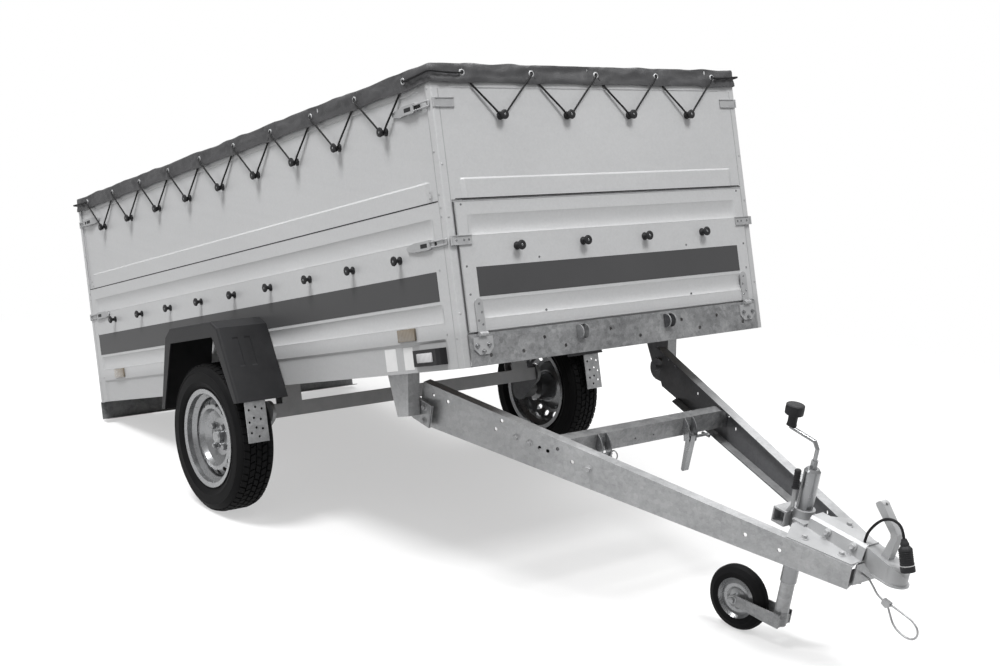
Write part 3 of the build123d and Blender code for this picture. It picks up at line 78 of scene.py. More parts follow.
# %% Sizes of the box that the added pieces meet
LENGTH = 2.7
HALF = 0.65
WALL_TOP = 0.895
SPLIT = 0.495
SETBACK = 0.006
HOOK_UPPER = WALL_TOP - 0.153
HOOK_LOWER = SPLIT - 0.149
SIDE_PITCH, END_PITCH = 0.271, 0.268
SIDE_HOOKS = [-LENGTH / 2 + SIDE_PITCH * (4 - i) for i in range(9)]
END_HOOKS = [END_PITCH * (i - 1.5) for i in range(4)]
EYELET_UP = WALL_TOP - 0.026
SKIRT_LOW = WALL_TOP - 0.058

# %% [markdown]
# The camera comes first, because every later choice is judged through it. Its place and turn come from matching
# the corners of the box in the photograph. It looks slightly down at the front right corner and leans by two degrees.

# %% Camera
lens = bpy.data.cameras.new("camera")
lens.sensor_width = 36
lens.lens = 51.33
camera = bpy.data.objects.new("camera", lens)
bpy.context.scene.collection.objects.link(camera)
forward = Vector((-0.7614, 0.6176, -0.1972)).normalized()
right = Vector((0.6238, 0.7807, 0.0366))
right = (right - forward * right.dot(forward)).normalized()
camera.matrix_world = own_axes(Vector((4.0692, -3.1235, 1.680)), right, right.cross(forward), -forward)
bpy.context.scene.camera = camera
bpy.context.scene.view_settings.view_transform = "Standard"
print("camera at", [round(v, 3) for v in camera.location])

# %% [markdown]
# Small helpers keep the cells short. Everything is deselected before a primitive is added, because an operator acts
# on all that is selected. A finished piece has its place in its mesh, rides on a body and takes one finish.

# %% Modelling helpers
def clear_selection():
    if bpy.context.object and bpy.context.object.mode != "OBJECT":
        bpy.ops.object.mode_set(mode="OBJECT")
    bpy.ops.object.select_all(action="DESELECT")


def pick_faces(piece, test):
    """Leaves the piece in edit mode with only the faces that pass the test selected."""
    bpy.ops.object.mode_set(mode="EDIT")
    bpy.ops.mesh.select_mode(type="FACE")
    bpy.ops.mesh.select_all(action="DESELECT")
    bpy.ops.object.mode_set(mode="OBJECT")
    for face in piece.data.polygons:
        face.select = test(face)
    bpy.ops.object.mode_set(mode="EDIT")


def into_mesh(piece, place=Matrix.Identity(4)):
    """Carries the object's own place, and then a further one, into its mesh."""
    if piece.mode != "OBJECT":
        bpy.ops.object.mode_set(mode="OBJECT")
    piece.data.transform(place @ piece.matrix_basis)
    piece.matrix_basis = Matrix.Identity(4)
    return piece


def make_active(piece):
    clear_selection()
    piece.select_set(True)
    bpy.context.view_layer.objects.active = piece


def apply_modifier(piece, kind, **settings):
    make_active(piece)
    added = piece.modifiers.new(kind.lower(), kind)
    for key, value in settings.items():
        setattr(added, key, value)
    bpy.ops.object.modifier_apply(modifier=added.name)


def settle(piece, name, body, finish, smooth=35):
    """Names a piece, smooths it, gives it its finish and lets it ride on a body."""
    make_active(piece)
    if piece.type == "MESH":
        bpy.ops.object.shade_smooth_by_angle(angle=math.radians(smooth))
    piece.name = name
    piece.data.name = name
    piece.data.materials.clear()
    piece.data.materials.append(finish)
    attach(piece, body)
    return piece


def slab(low, high, rounding=0.0, segments=2):
    """A cube set between two corners, with its edges bevelled."""
    clear_selection()
    low, high = Vector(low), Vector(high)
    bpy.ops.mesh.primitive_cube_add(size=1, location=(low + high) / 2, scale=high - low)
    piece = into_mesh(bpy.context.object)
    if rounding:
        bpy.ops.object.mode_set(mode="EDIT")
        bpy.ops.mesh.select_all(action="SELECT")
        bpy.ops.mesh.bevel(offset=rounding, segments=segments, affect="EDGES")
        bpy.ops.object.mode_set(mode="OBJECT")
    return piece


def lathe(outline, steps):
    """Spins a closed outline of (radius, height) points about the Z axis."""
    clear_selection()
    bpy.ops.mesh.primitive_circle_add(vertices=len(outline), radius=1)
    piece = bpy.context.object
    for vertex, (radius, height) in zip(piece.data.vertices, outline):
        vertex.co = (radius, 0, height)
    bpy.ops.object.mode_set(mode="EDIT")
    bpy.ops.mesh.select_all(action="SELECT")
    bpy.ops.mesh.spin(steps=steps, angle=math.tau, center=(0, 0, 0), axis=(0, 0, 1))
    bpy.ops.mesh.select_all(action="SELECT")
    bpy.ops.mesh.remove_doubles(threshold=1e-6)
    bpy.ops.mesh.normals_make_consistent(inside=False)
    bpy.ops.object.mode_set(mode="OBJECT")
    return piece


def joined(pieces):
    clear_selection()
    for piece in pieces:
        piece.select_set(True)
    bpy.context.view_layer.objects.active = pieces[0]
    bpy.ops.object.join()
    return pieces[0]


def copies(model, places):
    """Copies a modelled piece to many places and joins the copies."""
    made = []
    for place in places:
        one = model.copy()
        one.data = model.data.copy()
        one.data.transform(place)
        bpy.context.scene.collection.objects.link(one)
        made.append(one)
    bpy.data.objects.remove(model)
    return joined(made)


def facing(point, outward):
    """A matrix that sets a piece modelled along +Z on a point, looking outward."""
    outward = Vector(outward).normalized()
    side = Vector((0, 0, 1)) if abs(outward.z) < 0.9 else Vector((1, 0, 0))
    across = side.cross(outward).normalized()
    return own_axes(Vector(point), across, outward.cross(across), outward)


# %% [markdown]
# Finishes are node trees on object coordinates, so a pattern keeps its real size on every piece. A finish starts from
# a base level and adds layers of noise to it: wide clouding, fine grain, and whatever the real surface shows.

# %% Finish helpers
def start_finish(name, metallic=0.0, **sockets):
    made = bpy.data.materials.new(name)
    made.use_nodes = True
    shader = made.node_tree.nodes["Principled BSDF"]
    shader.inputs["Metallic"].default_value = metallic
    for socket, value in sockets.items():
        shader.inputs[socket.replace("_", " ")].default_value = value
    return made, made.node_tree, shader


def add_node(tree, kind, inputs=None, **settings):
    made = tree.nodes.new(kind)
    for key, value in settings.items():
        setattr(made, key, value)
    for key, value in (inputs or {}).items():
        made.inputs[key].default_value = value
    return made


def coordinates(tree, scale=(1, 1, 1), turn=0.0, source="Object"):
    """Coordinates in metres, turned about the Y axis so that a pattern can follow the pitched box."""
    origin = add_node(tree, "ShaderNodeTexCoord")
    mapping = add_node(tree, "ShaderNodeMapping")
    mapping.inputs["Rotation"].default_value = (0, turn, 0)
    mapping.inputs["Scale"].default_value = scale
    tree.links.new(origin.outputs[source], mapping.inputs["Vector"])
    return mapping.outputs["Vector"]


def cloud(tree, size, detail=3.0, stretch=(1, 1, 1), turn=0.0, rough=0.5):
    """Noise whose lumps are about this size in metres."""
    made = add_node(tree, "ShaderNodeTexNoise", {"Scale": 1 / size, "Detail": detail, "Roughness": rough})
    tree.links.new(coordinates(tree, stretch, turn), made.inputs["Vector"])
    return made.outputs["Fac"]


def crystals(tree, size, output="Color"):
    """Cells about this size in metres, each with a grey of its own, as in a zinc coat."""
    made = add_node(tree, "ShaderNodeTexVoronoi", {"Scale": 1 / size, "Randomness": 1.0})
    tree.links.new(coordinates(tree), made.inputs["Vector"])
    return made.outputs[output]


def layered(tree, base, layers):
    """Base level plus each layer's swing about its middle."""
    level = base - sum(weight for _, weight in layers) / 2
    total = None
    for output, weight in layers:
        step = add_node(tree, "ShaderNodeMath", operation="MULTIPLY_ADD")
        tree.links.new(output, step.inputs[0])
        step.inputs[1].default_value = weight
        step.inputs[2].default_value = level
        if total is not None:
            tree.links.new(total, step.inputs[2])
        total = step.outputs[0]
    return total


def tinted(tree, value, dark, light):
    """Turns a level from 0 to 1 into a colour between two."""
    ramp = add_node(tree, "ShaderNodeValToRGB")
    ramp.color_ramp.elements[0].color = (*dark, 1)
    ramp.color_ramp.elements[1].color = (*light, 1)
    tree.links.new(value, ramp.inputs["Fac"])
    return ramp.outputs["Color"]


def bumped(tree, shader, height, depth, strength=1.0):
    bump = add_node(tree, "ShaderNodeBump", {"Distance": depth, "Strength": strength})
    tree.links.new(height, bump.inputs["Height"])
    tree.links.new(bump.outputs["Normal"], shader.inputs["Normal"])


def shaded(tree, colour, where, shade):
    """Multiplies a colour by a shade where a mask is one."""
    coat = add_node(tree, "ShaderNodeMix", data_type="RGBA", blend_type="MULTIPLY")
    coat.inputs["B"].default_value = (*shade, 1)
    tree.links.new(where, coat.inputs["Factor"])
    tree.links.new(colour, coat.inputs["A"])
    return coat.outputs["Result"]


def dress(finish, *names):
    """Gives CAD nodes a finish in place of the plain one that they were packed with."""
    for name in names:
        piece = nodes[name]
        if not piece.material_slots:
            piece.data.materials.append(finish)
        for place in piece.material_slots:
            place.material = finish


# %% [markdown]
# The walls are rolled sheet with a fine zinc coat: an even satin grey with faint streaks along the rolling direction,
# darkened along the sill by painted shade.
# The frame and the drawbar were dipped in hot zinc after welding, which leaves large crystals and dull patches, and
# painted shade darkens the faces inside their channels that look towards the middle.
# Fittings are plated, so they are smoother and brighter than both.

# %% Metal finishes
BOX_FOOT = BOX.translation.dot(box_up)


def sill_painted_shade(tree):
    """Painted shade: one below the sill's upper bend and zero on the wall above it."""
    source = add_node(tree, "ShaderNodeTexCoord")
    height = add_node(tree, "ShaderNodeVectorMath", {1: box_up}, operation="DOT_PRODUCT")
    # This ramp is painted shade: it darkens the sheet below the sill's bend.
    film = add_node(tree, "ShaderNodeMapRange", {"From Min": BOX_FOOT + 0.09, "From Max": BOX_FOOT + 0.13,
                                                 "To Min": 1.0, "To Max": 0.0}, interpolation_type="SMOOTHSTEP")
    tree.links.new(source.outputs["Object"], height.inputs[0])
    tree.links.new(height.outputs["Value"], film.inputs["Value"])
    return film.outputs["Result"]


def make_zinc_sheet():
    made, tree, shader = start_finish("zinc_sheet", 0.15, Specular_IOR_Level=0.35)
    wide = cloud(tree, 0.55, 2.0)
    streak = cloud(tree, 0.02, 2.0, (0.02, 0.3, 1.0), PITCH)
    grain = crystals(tree, 0.006)
    colour = layered(tree, 0.5, [(wide, 0.34), (streak, 0.2), (grain, 0.22)])
    colour = tinted(tree, colour, (0.46, 0.464, 0.47), (0.62, 0.624, 0.63))
    # Painted shade along the sill darkens the sheet's colour.
    tree.links.new(shaded(tree, colour, sill_painted_shade(tree), (0.84, 0.84, 0.84)), shader.inputs["Base Color"])
    tree.links.new(layered(tree, 0.40, [(wide, 0.12), (grain, 0.08)]), shader.inputs["Roughness"])
    bumped(tree, shader, cloud(tree, 0.003, 2.0), 0.00004)
    return made


def inward_painted_shade(tree):
    """Painted shade: one on faces that look towards the trailer's middle line, as the insides of its channels do."""
    source = add_node(tree, "ShaderNodeTexCoord")
    across = add_node(tree, "ShaderNodeSeparateXYZ")
    turned = add_node(tree, "ShaderNodeSeparateXYZ")
    product = add_node(tree, "ShaderNodeMath", operation="MULTIPLY")
    inward = add_node(tree, "ShaderNodeMath", {1: -0.03}, operation="LESS_THAN")
    tree.links.new(source.outputs["Object"], across.inputs[0])
    tree.links.new(source.outputs["Normal"], turned.inputs[0])
    tree.links.new(across.outputs["Y"], product.inputs[0])
    tree.links.new(turned.outputs["Y"], product.inputs[1])
    tree.links.new(product.outputs[0], inward.inputs[0])
    return inward.outputs[0]


def make_dipped_zinc(name, dark, light):
    made, tree, shader = start_finish(name, 0.35, Specular_IOR_Level=0.35)
    patches = cloud(tree, 0.13, 4.0, rough=0.62)
    spangle = crystals(tree, 0.013)
    fine = crystals(tree, 0.004)
    runs = cloud(tree, 0.03, 3.0, (0.5, 0.5, 1.6))
    colour = layered(tree, 0.5, [(patches, 0.75), (spangle, 0.26), (fine, 0.16), (runs, 0.3)])
    colour = tinted(tree, colour, dark, light)
    # Faces that look towards the middle are darkened by painted shade, as inside the channels.
    tree.links.new(shaded(tree, colour, inward_painted_shade(tree), (0.30, 0.30, 0.31)), shader.inputs["Base Color"])
    tree.links.new(layered(tree, 0.40, [(patches, 0.22), (spangle, 0.14)]), shader.inputs["Roughness"])
    bumped(tree, shader, layered(tree, 0.5, [(spangle, 0.4), (runs, 0.6)]), 0.0003)
    return made


def make_plated_zinc(name, dark, light, rough, metallic=0.7):
    made, tree, shader = start_finish(name, metallic)
    wide = cloud(tree, 0.05, 3.0)
    fine = cloud(tree, 0.0025, 3.0)
    colour = layered(tree, 0.5, [(wide, 0.6), (fine, 0.4)])
    tree.links.new(tinted(tree, colour, dark, light), shader.inputs["Base Color"])
    tree.links.new(layered(tree, rough, [(wide, 0.14), (fine, 0.1)]), shader.inputs["Roughness"])
    bumped(tree, shader, fine, 0.00008)
    return made


zinc_sheet = make_zinc_sheet()
dipped_zinc = make_dipped_zinc("dipped_zinc", (0.20, 0.204, 0.21), (0.58, 0.584, 0.59))
dull_zinc = make_dipped_zinc("dull_zinc", (0.06, 0.062, 0.066), (0.46, 0.464, 0.47))
plated_zinc = make_plated_zinc("plated_zinc", (0.14, 0.144, 0.15), (0.38, 0.384, 0.39), 0.24)
bright_zinc = make_plated_zinc("bright_zinc", (0.27, 0.274, 0.28), (0.53, 0.534, 0.54), 0.50, 0.3)
silver_lacquer = make_plated_zinc("silver_lacquer", (0.20, 0.204, 0.21), (0.34, 0.344, 0.35), 0.28)
print("metal finishes:", zinc_sheet.name, dipped_zinc.name, plated_zinc.name, bright_zinc.name, silver_lacquer.name)

# %% [markdown]
# Rubber, moulded plastic, film and tarpaulin are all dark and differ mostly in gloss and grain: rubber is dull with
# dust in it, moulded plastic has a fine spark-eroded grain, stripe film is flat, and tarpaulin shows its base weave.

# %% Dark finishes
def make_dark(name, dark, light, rough, grain_size, grain_depth, dust_size=0.08, gloss=0.18, **sockets):
    made, tree, shader = start_finish(name, 0.0, Specular_IOR_Level=gloss, **sockets)
    dust = cloud(tree, dust_size, 4.0, rough=0.6)
    grain = cloud(tree, grain_size, 2.0)
    colour = layered(tree, 0.5, [(dust, 0.9), (grain, 0.25)])
    tree.links.new(tinted(tree, colour, dark, light), shader.inputs["Base Color"])
    tree.links.new(layered(tree, rough, [(dust, 0.2), (grain, 0.1)]), shader.inputs["Roughness"])
    bumped(tree, shader, grain, grain_depth)
    return made


tyre_rubber = make_dark("tyre_rubber", (0.004, 0.004, 0.0045), (0.014, 0.014, 0.0145), 0.62, 0.0016, 0.0001, gloss=0.07)
moulded_black = make_dark("moulded_black", (0.014, 0.014, 0.015), (0.034, 0.034, 0.036), 0.50, 0.0012, 0.0001)
stripe_film = make_dark("stripe_film", (0.060, 0.060, 0.062), (0.082, 0.082, 0.084), 0.42, 0.004, 0.00002, 0.4)
cord_black = make_dark("cord_black", (0.006, 0.006, 0.007), (0.020, 0.020, 0.021), 0.6, 0.0012, 0.0001)


def make_tarpaulin():
    made, tree, shader = start_finish("tarpaulin", 0.0, Specular_IOR_Level=0.25)
    fade = cloud(tree, 0.3, 3.0)
    crease = cloud(tree, 0.05, 4.0, rough=0.65)
    weave = []
    for turn in ("X", "Y"):
        thread = add_node(tree, "ShaderNodeTexWave", {"Scale": 160.0, "Distortion": 0.2}, bands_direction=turn)
        tree.links.new(coordinates(tree, (1, 1, 1), PITCH), thread.inputs["Vector"])
        weave.append(thread.outputs["Fac"])
    colour = layered(tree, 0.5, [(fade, 0.5), (crease, 0.5), (weave[0], 0.12), (weave[1], 0.12)])
    tree.links.new(tinted(tree, colour, (0.040, 0.040, 0.042), (0.100, 0.100, 0.103)), shader.inputs["Base Color"])
    tree.links.new(layered(tree, 0.45, [(crease, 0.25), (fade, 0.1)]), shader.inputs["Roughness"])
    bumped(tree, shader, layered(tree, 0.5, [(weave[0], 0.15), (weave[1], 0.15), (crease, 0.7)]), 0.0009)
    return made


tarpaulin = make_tarpaulin()
print("dark finishes:", tyre_rubber.name, moulded_black.name, stripe_film.name, tarpaulin.name)


# %% Lamp, label and floorboard finishes
def make_pale(name, dark, light, rough, size, **sockets):
    made, tree, shader = start_finish(name, 0.0, **sockets)
    wide = cloud(tree, size, 3.0)
    tree.links.new(tinted(tree, wide, dark, light), shader.inputs["Base Color"])
    tree.links.new(layered(tree, rough, [(wide, 0.1)]), shader.inputs["Roughness"])
    return made


def make_lens(name, dark, light):
    """Moulded lens: fine ribs under a glossy face."""
    made, tree, shader = start_finish(name, 0.0, Coat_Weight=0.6, Coat_Roughness=0.05)
    ribs = add_node(tree, "ShaderNodeTexWave", {"Scale": 40.0, "Distortion": 0.0}, bands_direction="X")
    tree.links.new(coordinates(tree, (1, 1, 1), PITCH), ribs.inputs["Vector"])
    tree.links.new(tinted(tree, ribs.outputs["Fac"], dark, light), shader.inputs["Base Color"])
    tree.links.new(layered(tree, 0.2, [(ribs.outputs["Fac"], 0.1)]), shader.inputs["Roughness"])
    bumped(tree, shader, ribs.outputs["Fac"], 0.0006)
    return made


label_white = make_pale("label_white", (0.74, 0.74, 0.74), (0.84, 0.84, 0.84), 0.4, 0.03)
clear_lens = make_lens("clear_lens", (0.50, 0.50, 0.51), (0.74, 0.74, 0.75))
amber_lens = make_lens("amber_lens", (0.17, 0.14, 0.10), (0.24, 0.20, 0.15))
red_lens = make_lens("red_lens", (0.26, 0.012, 0.012), (0.44, 0.025, 0.022))


def make_floorboard():
    """Film-faced plywood: brown with a fine wire-mesh print."""
    made, tree, shader = start_finish("floorboard", 0.0)
    grain = cloud(tree, 0.05, 4.0, (0.08, 1, 1), PITCH)
    mesh = add_node(tree, "ShaderNodeTexChecker", {"Scale": 220.0})
    tree.links.new(coordinates(tree, (1, 1, 1), PITCH), mesh.inputs["Vector"])
    colour = layered(tree, 0.5, [(grain, 0.8), (mesh.outputs["Fac"], 0.25)])
    tree.links.new(tinted(tree, colour, (0.055, 0.032, 0.02), (0.13, 0.08, 0.05)), shader.inputs["Base Color"])
    tree.links.new(layered(tree, 0.45, [(grain, 0.2)]), shader.inputs["Roughness"])
    bumped(tree, shader, mesh.outputs["Fac"], 0.0002)
    return made


floorboard = make_floorboard()


def make_wire_rope():
    """Bare wire rope: strands wound slantwise, read from the rope's own length and girth."""
    made, tree, shader = start_finish("wire_rope", 0.85)
    lay = add_node(tree, "ShaderNodeTexWave", {"Scale": 1.0, "Distortion": 0.0}, bands_direction="DIAGONAL")
    tree.links.new(coordinates(tree, (9.0, 6.0, 1), 0.0, "UV"), lay.inputs["Vector"])
    wear = cloud(tree, 0.01, 3.0)
    colour = layered(tree, 0.5, [(lay.outputs["Fac"], 0.8), (wear, 0.4)])
    tree.links.new(tinted(tree, colour, (0.30, 0.30, 0.305), (0.85, 0.85, 0.86)), shader.inputs["Base Color"])
    tree.links.new(layered(tree, 0.38, [(wear, 0.2)]), shader.inputs["Roughness"])
    bumped(tree, shader, lay.outputs["Fac"], 0.0006)
    return made


wire_rope = make_wire_rope()
print("other finishes:", label_white.name, clear_lens.name, amber_lens.name, red_lens.name, wire_rope.name)

# %% [markdown]
# Most rigid nodes already have the right shape, so they keep their mesh and only get a finish.

# %% Dress the rigid nodes
dress(zinc_sheet, "side_wall_right", "side_wall_left", "extension_side_right", "extension_side_left",
      "extension_front", "extension_rear", "front_gate", "tailgate", "corner_posts_lower", "corner_posts_upper")
dress(dipped_zinc, "torsion_arms", "fender_brackets", "pivot_posts", "pivot_eyes", "drawbar_arm_right",
      "drawbar_arm_left", "drawbar_front_plate", "jack_leg")
dress(dull_zinc, "front_crossmember", "rear_crossmember", "rear_lamp_carrier", "floor_crossmembers", "drawbar_crossbar",
      "jack_fork")
dress(plated_zinc, "tilt_locks", "jack_outer_tube", "jack_crank", "wheel_hub_right", "wheel_hub_left")
dress(bright_zinc, "axle_beam", "coupling_bracket", "coupling_head", "coupling_handle", "jack_clamp", "corner_latches",
      "gate_hinge_leaves", "front_gate_fittings", "tailgate_fittings", "safety_ferrule")
dress(silver_lacquer, "wheel_rim_right", "wheel_rim_left", "jockey_rim")
dress(tyre_rubber, "wheel_tyre_right", "wheel_tyre_left", "jockey_tyre")
dress(moulded_black, "fender_right", "fender_left", "rope_hooks", "front_gate_hooks", "tailgate_hooks", "plug",
      "marker_lamps")
dress(red_lens, "rear_lamps")
dress(floorboard, "floor_panel")
dress(tarpaulin, "cover_sheet")
dress(cord_black, "lashing_cord", "plug_cable")
dress(wire_rope, "safety_cable", "safety_loop")
print("dressed", sum(1 for piece in nodes.values() if piece.material_slots), "nodes")

# %% [markdown]
# The studio is a wide pale floor under soft light. The floor and the sky look white to the camera, while the light
# that they throw back on the trailer is weaker, so that its underside stays dark as on a real yard. Metal mirrors a sky
# that is brighter overhead, which is what gives its bends their light and dark sides.

# %% Floor, sky and lamps
clear_selection()
bpy.ops.mesh.primitive_plane_add(size=60)
floor = bpy.context.object
floor.name = "studio_floor"
floor_paint = bpy.data.materials.new("studio_floor")
floor_paint.use_nodes = True
tree = floor_paint.node_tree
tree.nodes.clear()


def seen_directly(tree, *others):
    """One for rays from the camera, through glass and of the other kinds named, and zero for the rest."""
    path = add_node(tree, "ShaderNodeLightPath")
    total = path.outputs["Is Camera Ray"]
    for name in ("Is Transmission Ray",) + others:
        step = add_node(tree, "ShaderNodeMath", operation="ADD", use_clamp=True)
        tree.links.new(total, step.inputs[0])
        tree.links.new(path.outputs[name], step.inputs[1])
        total = step.outputs[0]
    return total


out = add_node(tree, "ShaderNodeOutputMaterial")
mix = add_node(tree, "ShaderNodeMixShader")
dull = add_node(tree, "ShaderNodeBsdfDiffuse", {"Color": (0.24, 0.24, 0.24, 1)})
pale = add_node(tree, "ShaderNodeBsdfDiffuse", {"Color": (0.93, 0.93, 0.93, 1)})
white = add_node(tree, "ShaderNodeEmission", {"Color": (1, 1, 1, 1), "Strength": 1.0})
place = add_node(tree, "ShaderNodeTexCoord")
away = add_node(tree, "ShaderNodeVectorMath", operation="LENGTH")
fade = add_node(tree, "ShaderNodeMapRange", {"From Min": 2.2, "From Max": 4.2, "To Min": 0.5},
                interpolation_type="SMOOTHSTEP")
ground = add_node(tree, "ShaderNodeMixShader")
tree.links.new(place.outputs["Object"], away.inputs[0])
tree.links.new(away.outputs["Value"], fade.inputs["Value"])
tree.links.new(fade.outputs["Result"], ground.inputs[0])
tree.links.new(pale.outputs[0], ground.inputs[1])
tree.links.new(white.outputs[0], ground.inputs[2])
tree.links.new(seen_directly(tree, "Is Glossy Ray"), mix.inputs[0])
tree.links.new(dull.outputs[0], mix.inputs[1])
tree.links.new(ground.outputs[0], mix.inputs[2])
tree.links.new(mix.outputs[0], out.inputs["Surface"])
floor.data.materials.append(floor_paint)

world = bpy.data.worlds.new("studio")
bpy.context.scene.world = world
world.use_nodes = True
tree = world.node_tree
tree.nodes.clear()
out = add_node(tree, "ShaderNodeOutputWorld")
mix = add_node(tree, "ShaderNodeMixShader")
soft = add_node(tree, "ShaderNodeBackground", {"Color": (1, 1, 1, 1)})
heading = add_node(tree, "ShaderNodeTexCoord")
height = add_node(tree, "ShaderNodeSeparateXYZ")
overhead = add_node(tree, "ShaderNodeMapRange", {"From Min": 0.0, "From Max": 1.0, "To Min": 0.30, "To Max": 0.86})
tree.links.new(heading.outputs["Generated"], height.inputs[0])
tree.links.new(height.outputs["Z"], overhead.inputs["Value"])
tree.links.new(overhead.outputs["Result"], soft.inputs["Strength"])
white = add_node(tree, "ShaderNodeBackground", {"Color": (1, 1, 1, 1), "Strength": 1.0})
tree.links.new(seen_directly(tree), mix.inputs[0])
tree.links.new(soft.outputs[0], mix.inputs[1])
tree.links.new(white.outputs[0], mix.inputs[2])
tree.links.new(mix.outputs[0], out.inputs["Surface"])

# Lamps: place, aim, size, power
LAMPS = [("key", (3.9, 0.4, 7.2), (0.7, 0, 0.8), 2.2, 330), ("side", (-0.8, -3.4, 7.2), (-0.5, 0, 0.8), 2.2, 520),
         ("back", (-3.5, 4.5, 6.0), (-0.5, 0, 1.0), 4.0, 150)]
for name, place, aim, size, power in LAMPS:
    lamp = bpy.data.lights.new(name, "AREA")
    lamp.size = size
    lamp.energy = power
    holder = bpy.data.objects.new(name, lamp)
    holder.location = place
    holder.rotation_euler = (Vector(aim) - Vector(place)).to_track_quat("-Z", "Y").to_euler()
    bpy.context.scene.collection.objects.link(holder)
print("studio lit by", len(LAMPS), "lamps and the sky")

# %% [markdown]
# The trailer has one electric cable and one safety cable. Each is a smooth spline whose control points are the points
# of the route. The order and the end setting follow after the points, because before them they don't hold.

# %% Cables on the drawbar
PLUG_HIGH = (1.488, -0.022, 0.134)
PLUG_CABLE = [(1.372, -0.017, 0.066), (1.372, -0.017, 0.088), (1.383, -0.020, 0.113), (1.400, -0.024, 0.139),
              (1.420, -0.0275, 0.160), (1.446, -0.028, 0.172), (1.470, -0.025, 0.166),
              (1.48152, -0.022, 0.14876), PLUG_HIGH]
SAFETY_CABLE = [(1.387, -0.02, -0.021), (1.408, -0.02, -0.021), (1.429, -0.02, -0.036), (1.4511, -0.02, -0.0562),
                (1.4707, -0.02, -0.0604)]
SAFETY_LOOP = [(1.4964, -0.02, -0.061), (1.5203, -0.02, -0.0634), (1.546, -0.02, -0.0665), (1.570, -0.02, -0.071),
               (1.588, -0.02, -0.082), (1.595, -0.02, -0.099), (1.588, -0.02, -0.116), (1.571, -0.02, -0.124),
               (1.550, -0.02, -0.123), (1.529, -0.02, -0.117), (1.514, -0.02, -0.1065), (1.5034, -0.02, -0.0918),
               (1.4902, -0.02, -0.0718)]


def spline_curve(name, routes, radius, place):
    """A round cord along one smooth spline for each route."""
    line = bpy.data.curves.new(name, "CURVE")
    line.dimensions = "3D"
    line.bevel_depth = radius
    line.bevel_resolution = 3
    line.use_fill_caps = True
    for route in routes:
        spline = line.splines.new("NURBS")
        spline.points.add(len(route) - 1)
        for point, where in zip(spline.points, route):
            point.co = (*(place @ Vector(where)), 1)
        spline.order_u = 3
        spline.use_endpoint_u = True
        spline.resolution_u = 8
    piece = bpy.data.objects.new(name, line)
    bpy.context.scene.collection.objects.link(piece)
    return piece


plug_lead = spline_curve("plug_lead", [PLUG_CABLE], 0.004, DRAW)
settle(plug_lead, "plug_lead", "drawbar", cord_black)
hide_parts("plug_cable")


def twisted_rope(name, route, radius, strands=6, lay=0.022):
    """A wire rope: a tube of lobes, one for each strand, that turns as it follows the points of a smooth spline."""
    line = spline_curve(name + "_line", [route], 0.0, DRAW)
    line.data.splines[0].resolution_u = 16
    read = bpy.data.meshes.new_from_object(line)
    path = [vertex.co.copy() for vertex in read.vertices]
    bpy.data.objects.remove(line)
    bpy.data.meshes.remove(read)
    points, faces, turn, sides = [], [], 0.0, 5 * strands
    side = (path[1] - path[0]).orthogonal().normalized()
    for i, where in enumerate(path):
        ahead = (path[min(i + 1, len(path) - 1)] - path[max(i - 1, 0)]).normalized()
        side = (side - ahead * side.dot(ahead)).normalized()
        turn += math.tau * (where - path[max(i - 1, 0)]).length / lay
        for k in range(sides):
            angle = math.tau * k / sides
            lobe = radius * (0.80 + 0.20 * abs(math.cos(angle * strands / 2)))
            points.append(where + (side * math.cos(angle + turn) + ahead.cross(side) * math.sin(angle + turn)) * lobe)
    for i in range(len(path) - 1):
        for k in range(sides):
            a, b = i * sides + k, i * sides + (k + 1) % sides
            faces.append((a, b, b + sides, a + sides))
    faces += [tuple(reversed(range(sides))), tuple(range(len(points) - sides, len(points)))]
    mesh = bpy.data.meshes.new(name)
    mesh.from_pydata(points, [], faces)
    piece = bpy.data.objects.new(name, mesh)
    bpy.context.scene.collection.objects.link(piece)
    return piece, path


breakaway, breakaway_path = twisted_rope("breakaway_rope", SAFETY_CABLE, 0.003)
settle(breakaway, "breakaway_rope", "drawbar", wire_rope, 60)
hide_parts("safety_cable")
rope_eye, rope_eye_path = twisted_rope("breakaway_loop", SAFETY_LOOP, 0.003)
settle(rope_eye, "breakaway_loop", "drawbar", wire_rope, 60)
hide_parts("safety_loop")
print("cables:", plug_lead.name, breakaway.name, rope_eye.name)

# %% [markdown]
# The cover is one sheet of coated cloth with a skirt all round, pulled down by its lashing. A cloth simulation would
# find the same shape slowly, because every eyelet is held, so a grid is extruded down along its edge into a skirt and
# its points are then moved: soft creases run up from each eyelet, the hem lifts between them, the corners are pleated.

# %% Cover: sheet and skirt
SIDE_EYELETS = [SIDE_HOOKS[0] + 0.1355 - SIDE_PITCH * i for i in range(10)]
END_EYELETS = [END_PITCH * (i - 2) for i in range(5)]
COVER_OUT = 0.002
COVER_ROUND = 0.012
SKIRT_DROP = WALL_TOP + COVER_OUT - SKIRT_LOW
SKIRT_ROWS = 10

clear_selection()
bpy.ops.mesh.primitive_grid_add(x_subdivisions=190, y_subdivisions=92, size=1,
                                location=(-LENGTH / 2, 0, WALL_TOP + COVER_OUT))
cover = bpy.context.object
cover.scale = (LENGTH + 2 * COVER_OUT, 2 * HALF + 2 * COVER_OUT, 1)
into_mesh(cover)
bpy.ops.object.mode_set(mode="EDIT")
bpy.ops.mesh.select_mode(type="EDGE")
bpy.ops.mesh.select_non_manifold(extend=False)
for _ in range(SKIRT_ROWS):
    bpy.ops.mesh.extrude_edges_move(TRANSFORM_OT_translate={"value": (0, 0, -SKIRT_DROP / SKIRT_ROWS)})
bpy.ops.mesh.select_all(action="SELECT")
bpy.ops.mesh.normals_make_consistent(inside=False)
bpy.ops.object.mode_set(mode="OBJECT")
print("cover grid:", len(cover.data.vertices), "points")


# %% Cover: tension and creases
def nearest(along, places):
    return min((along - place for place in places), key=abs)


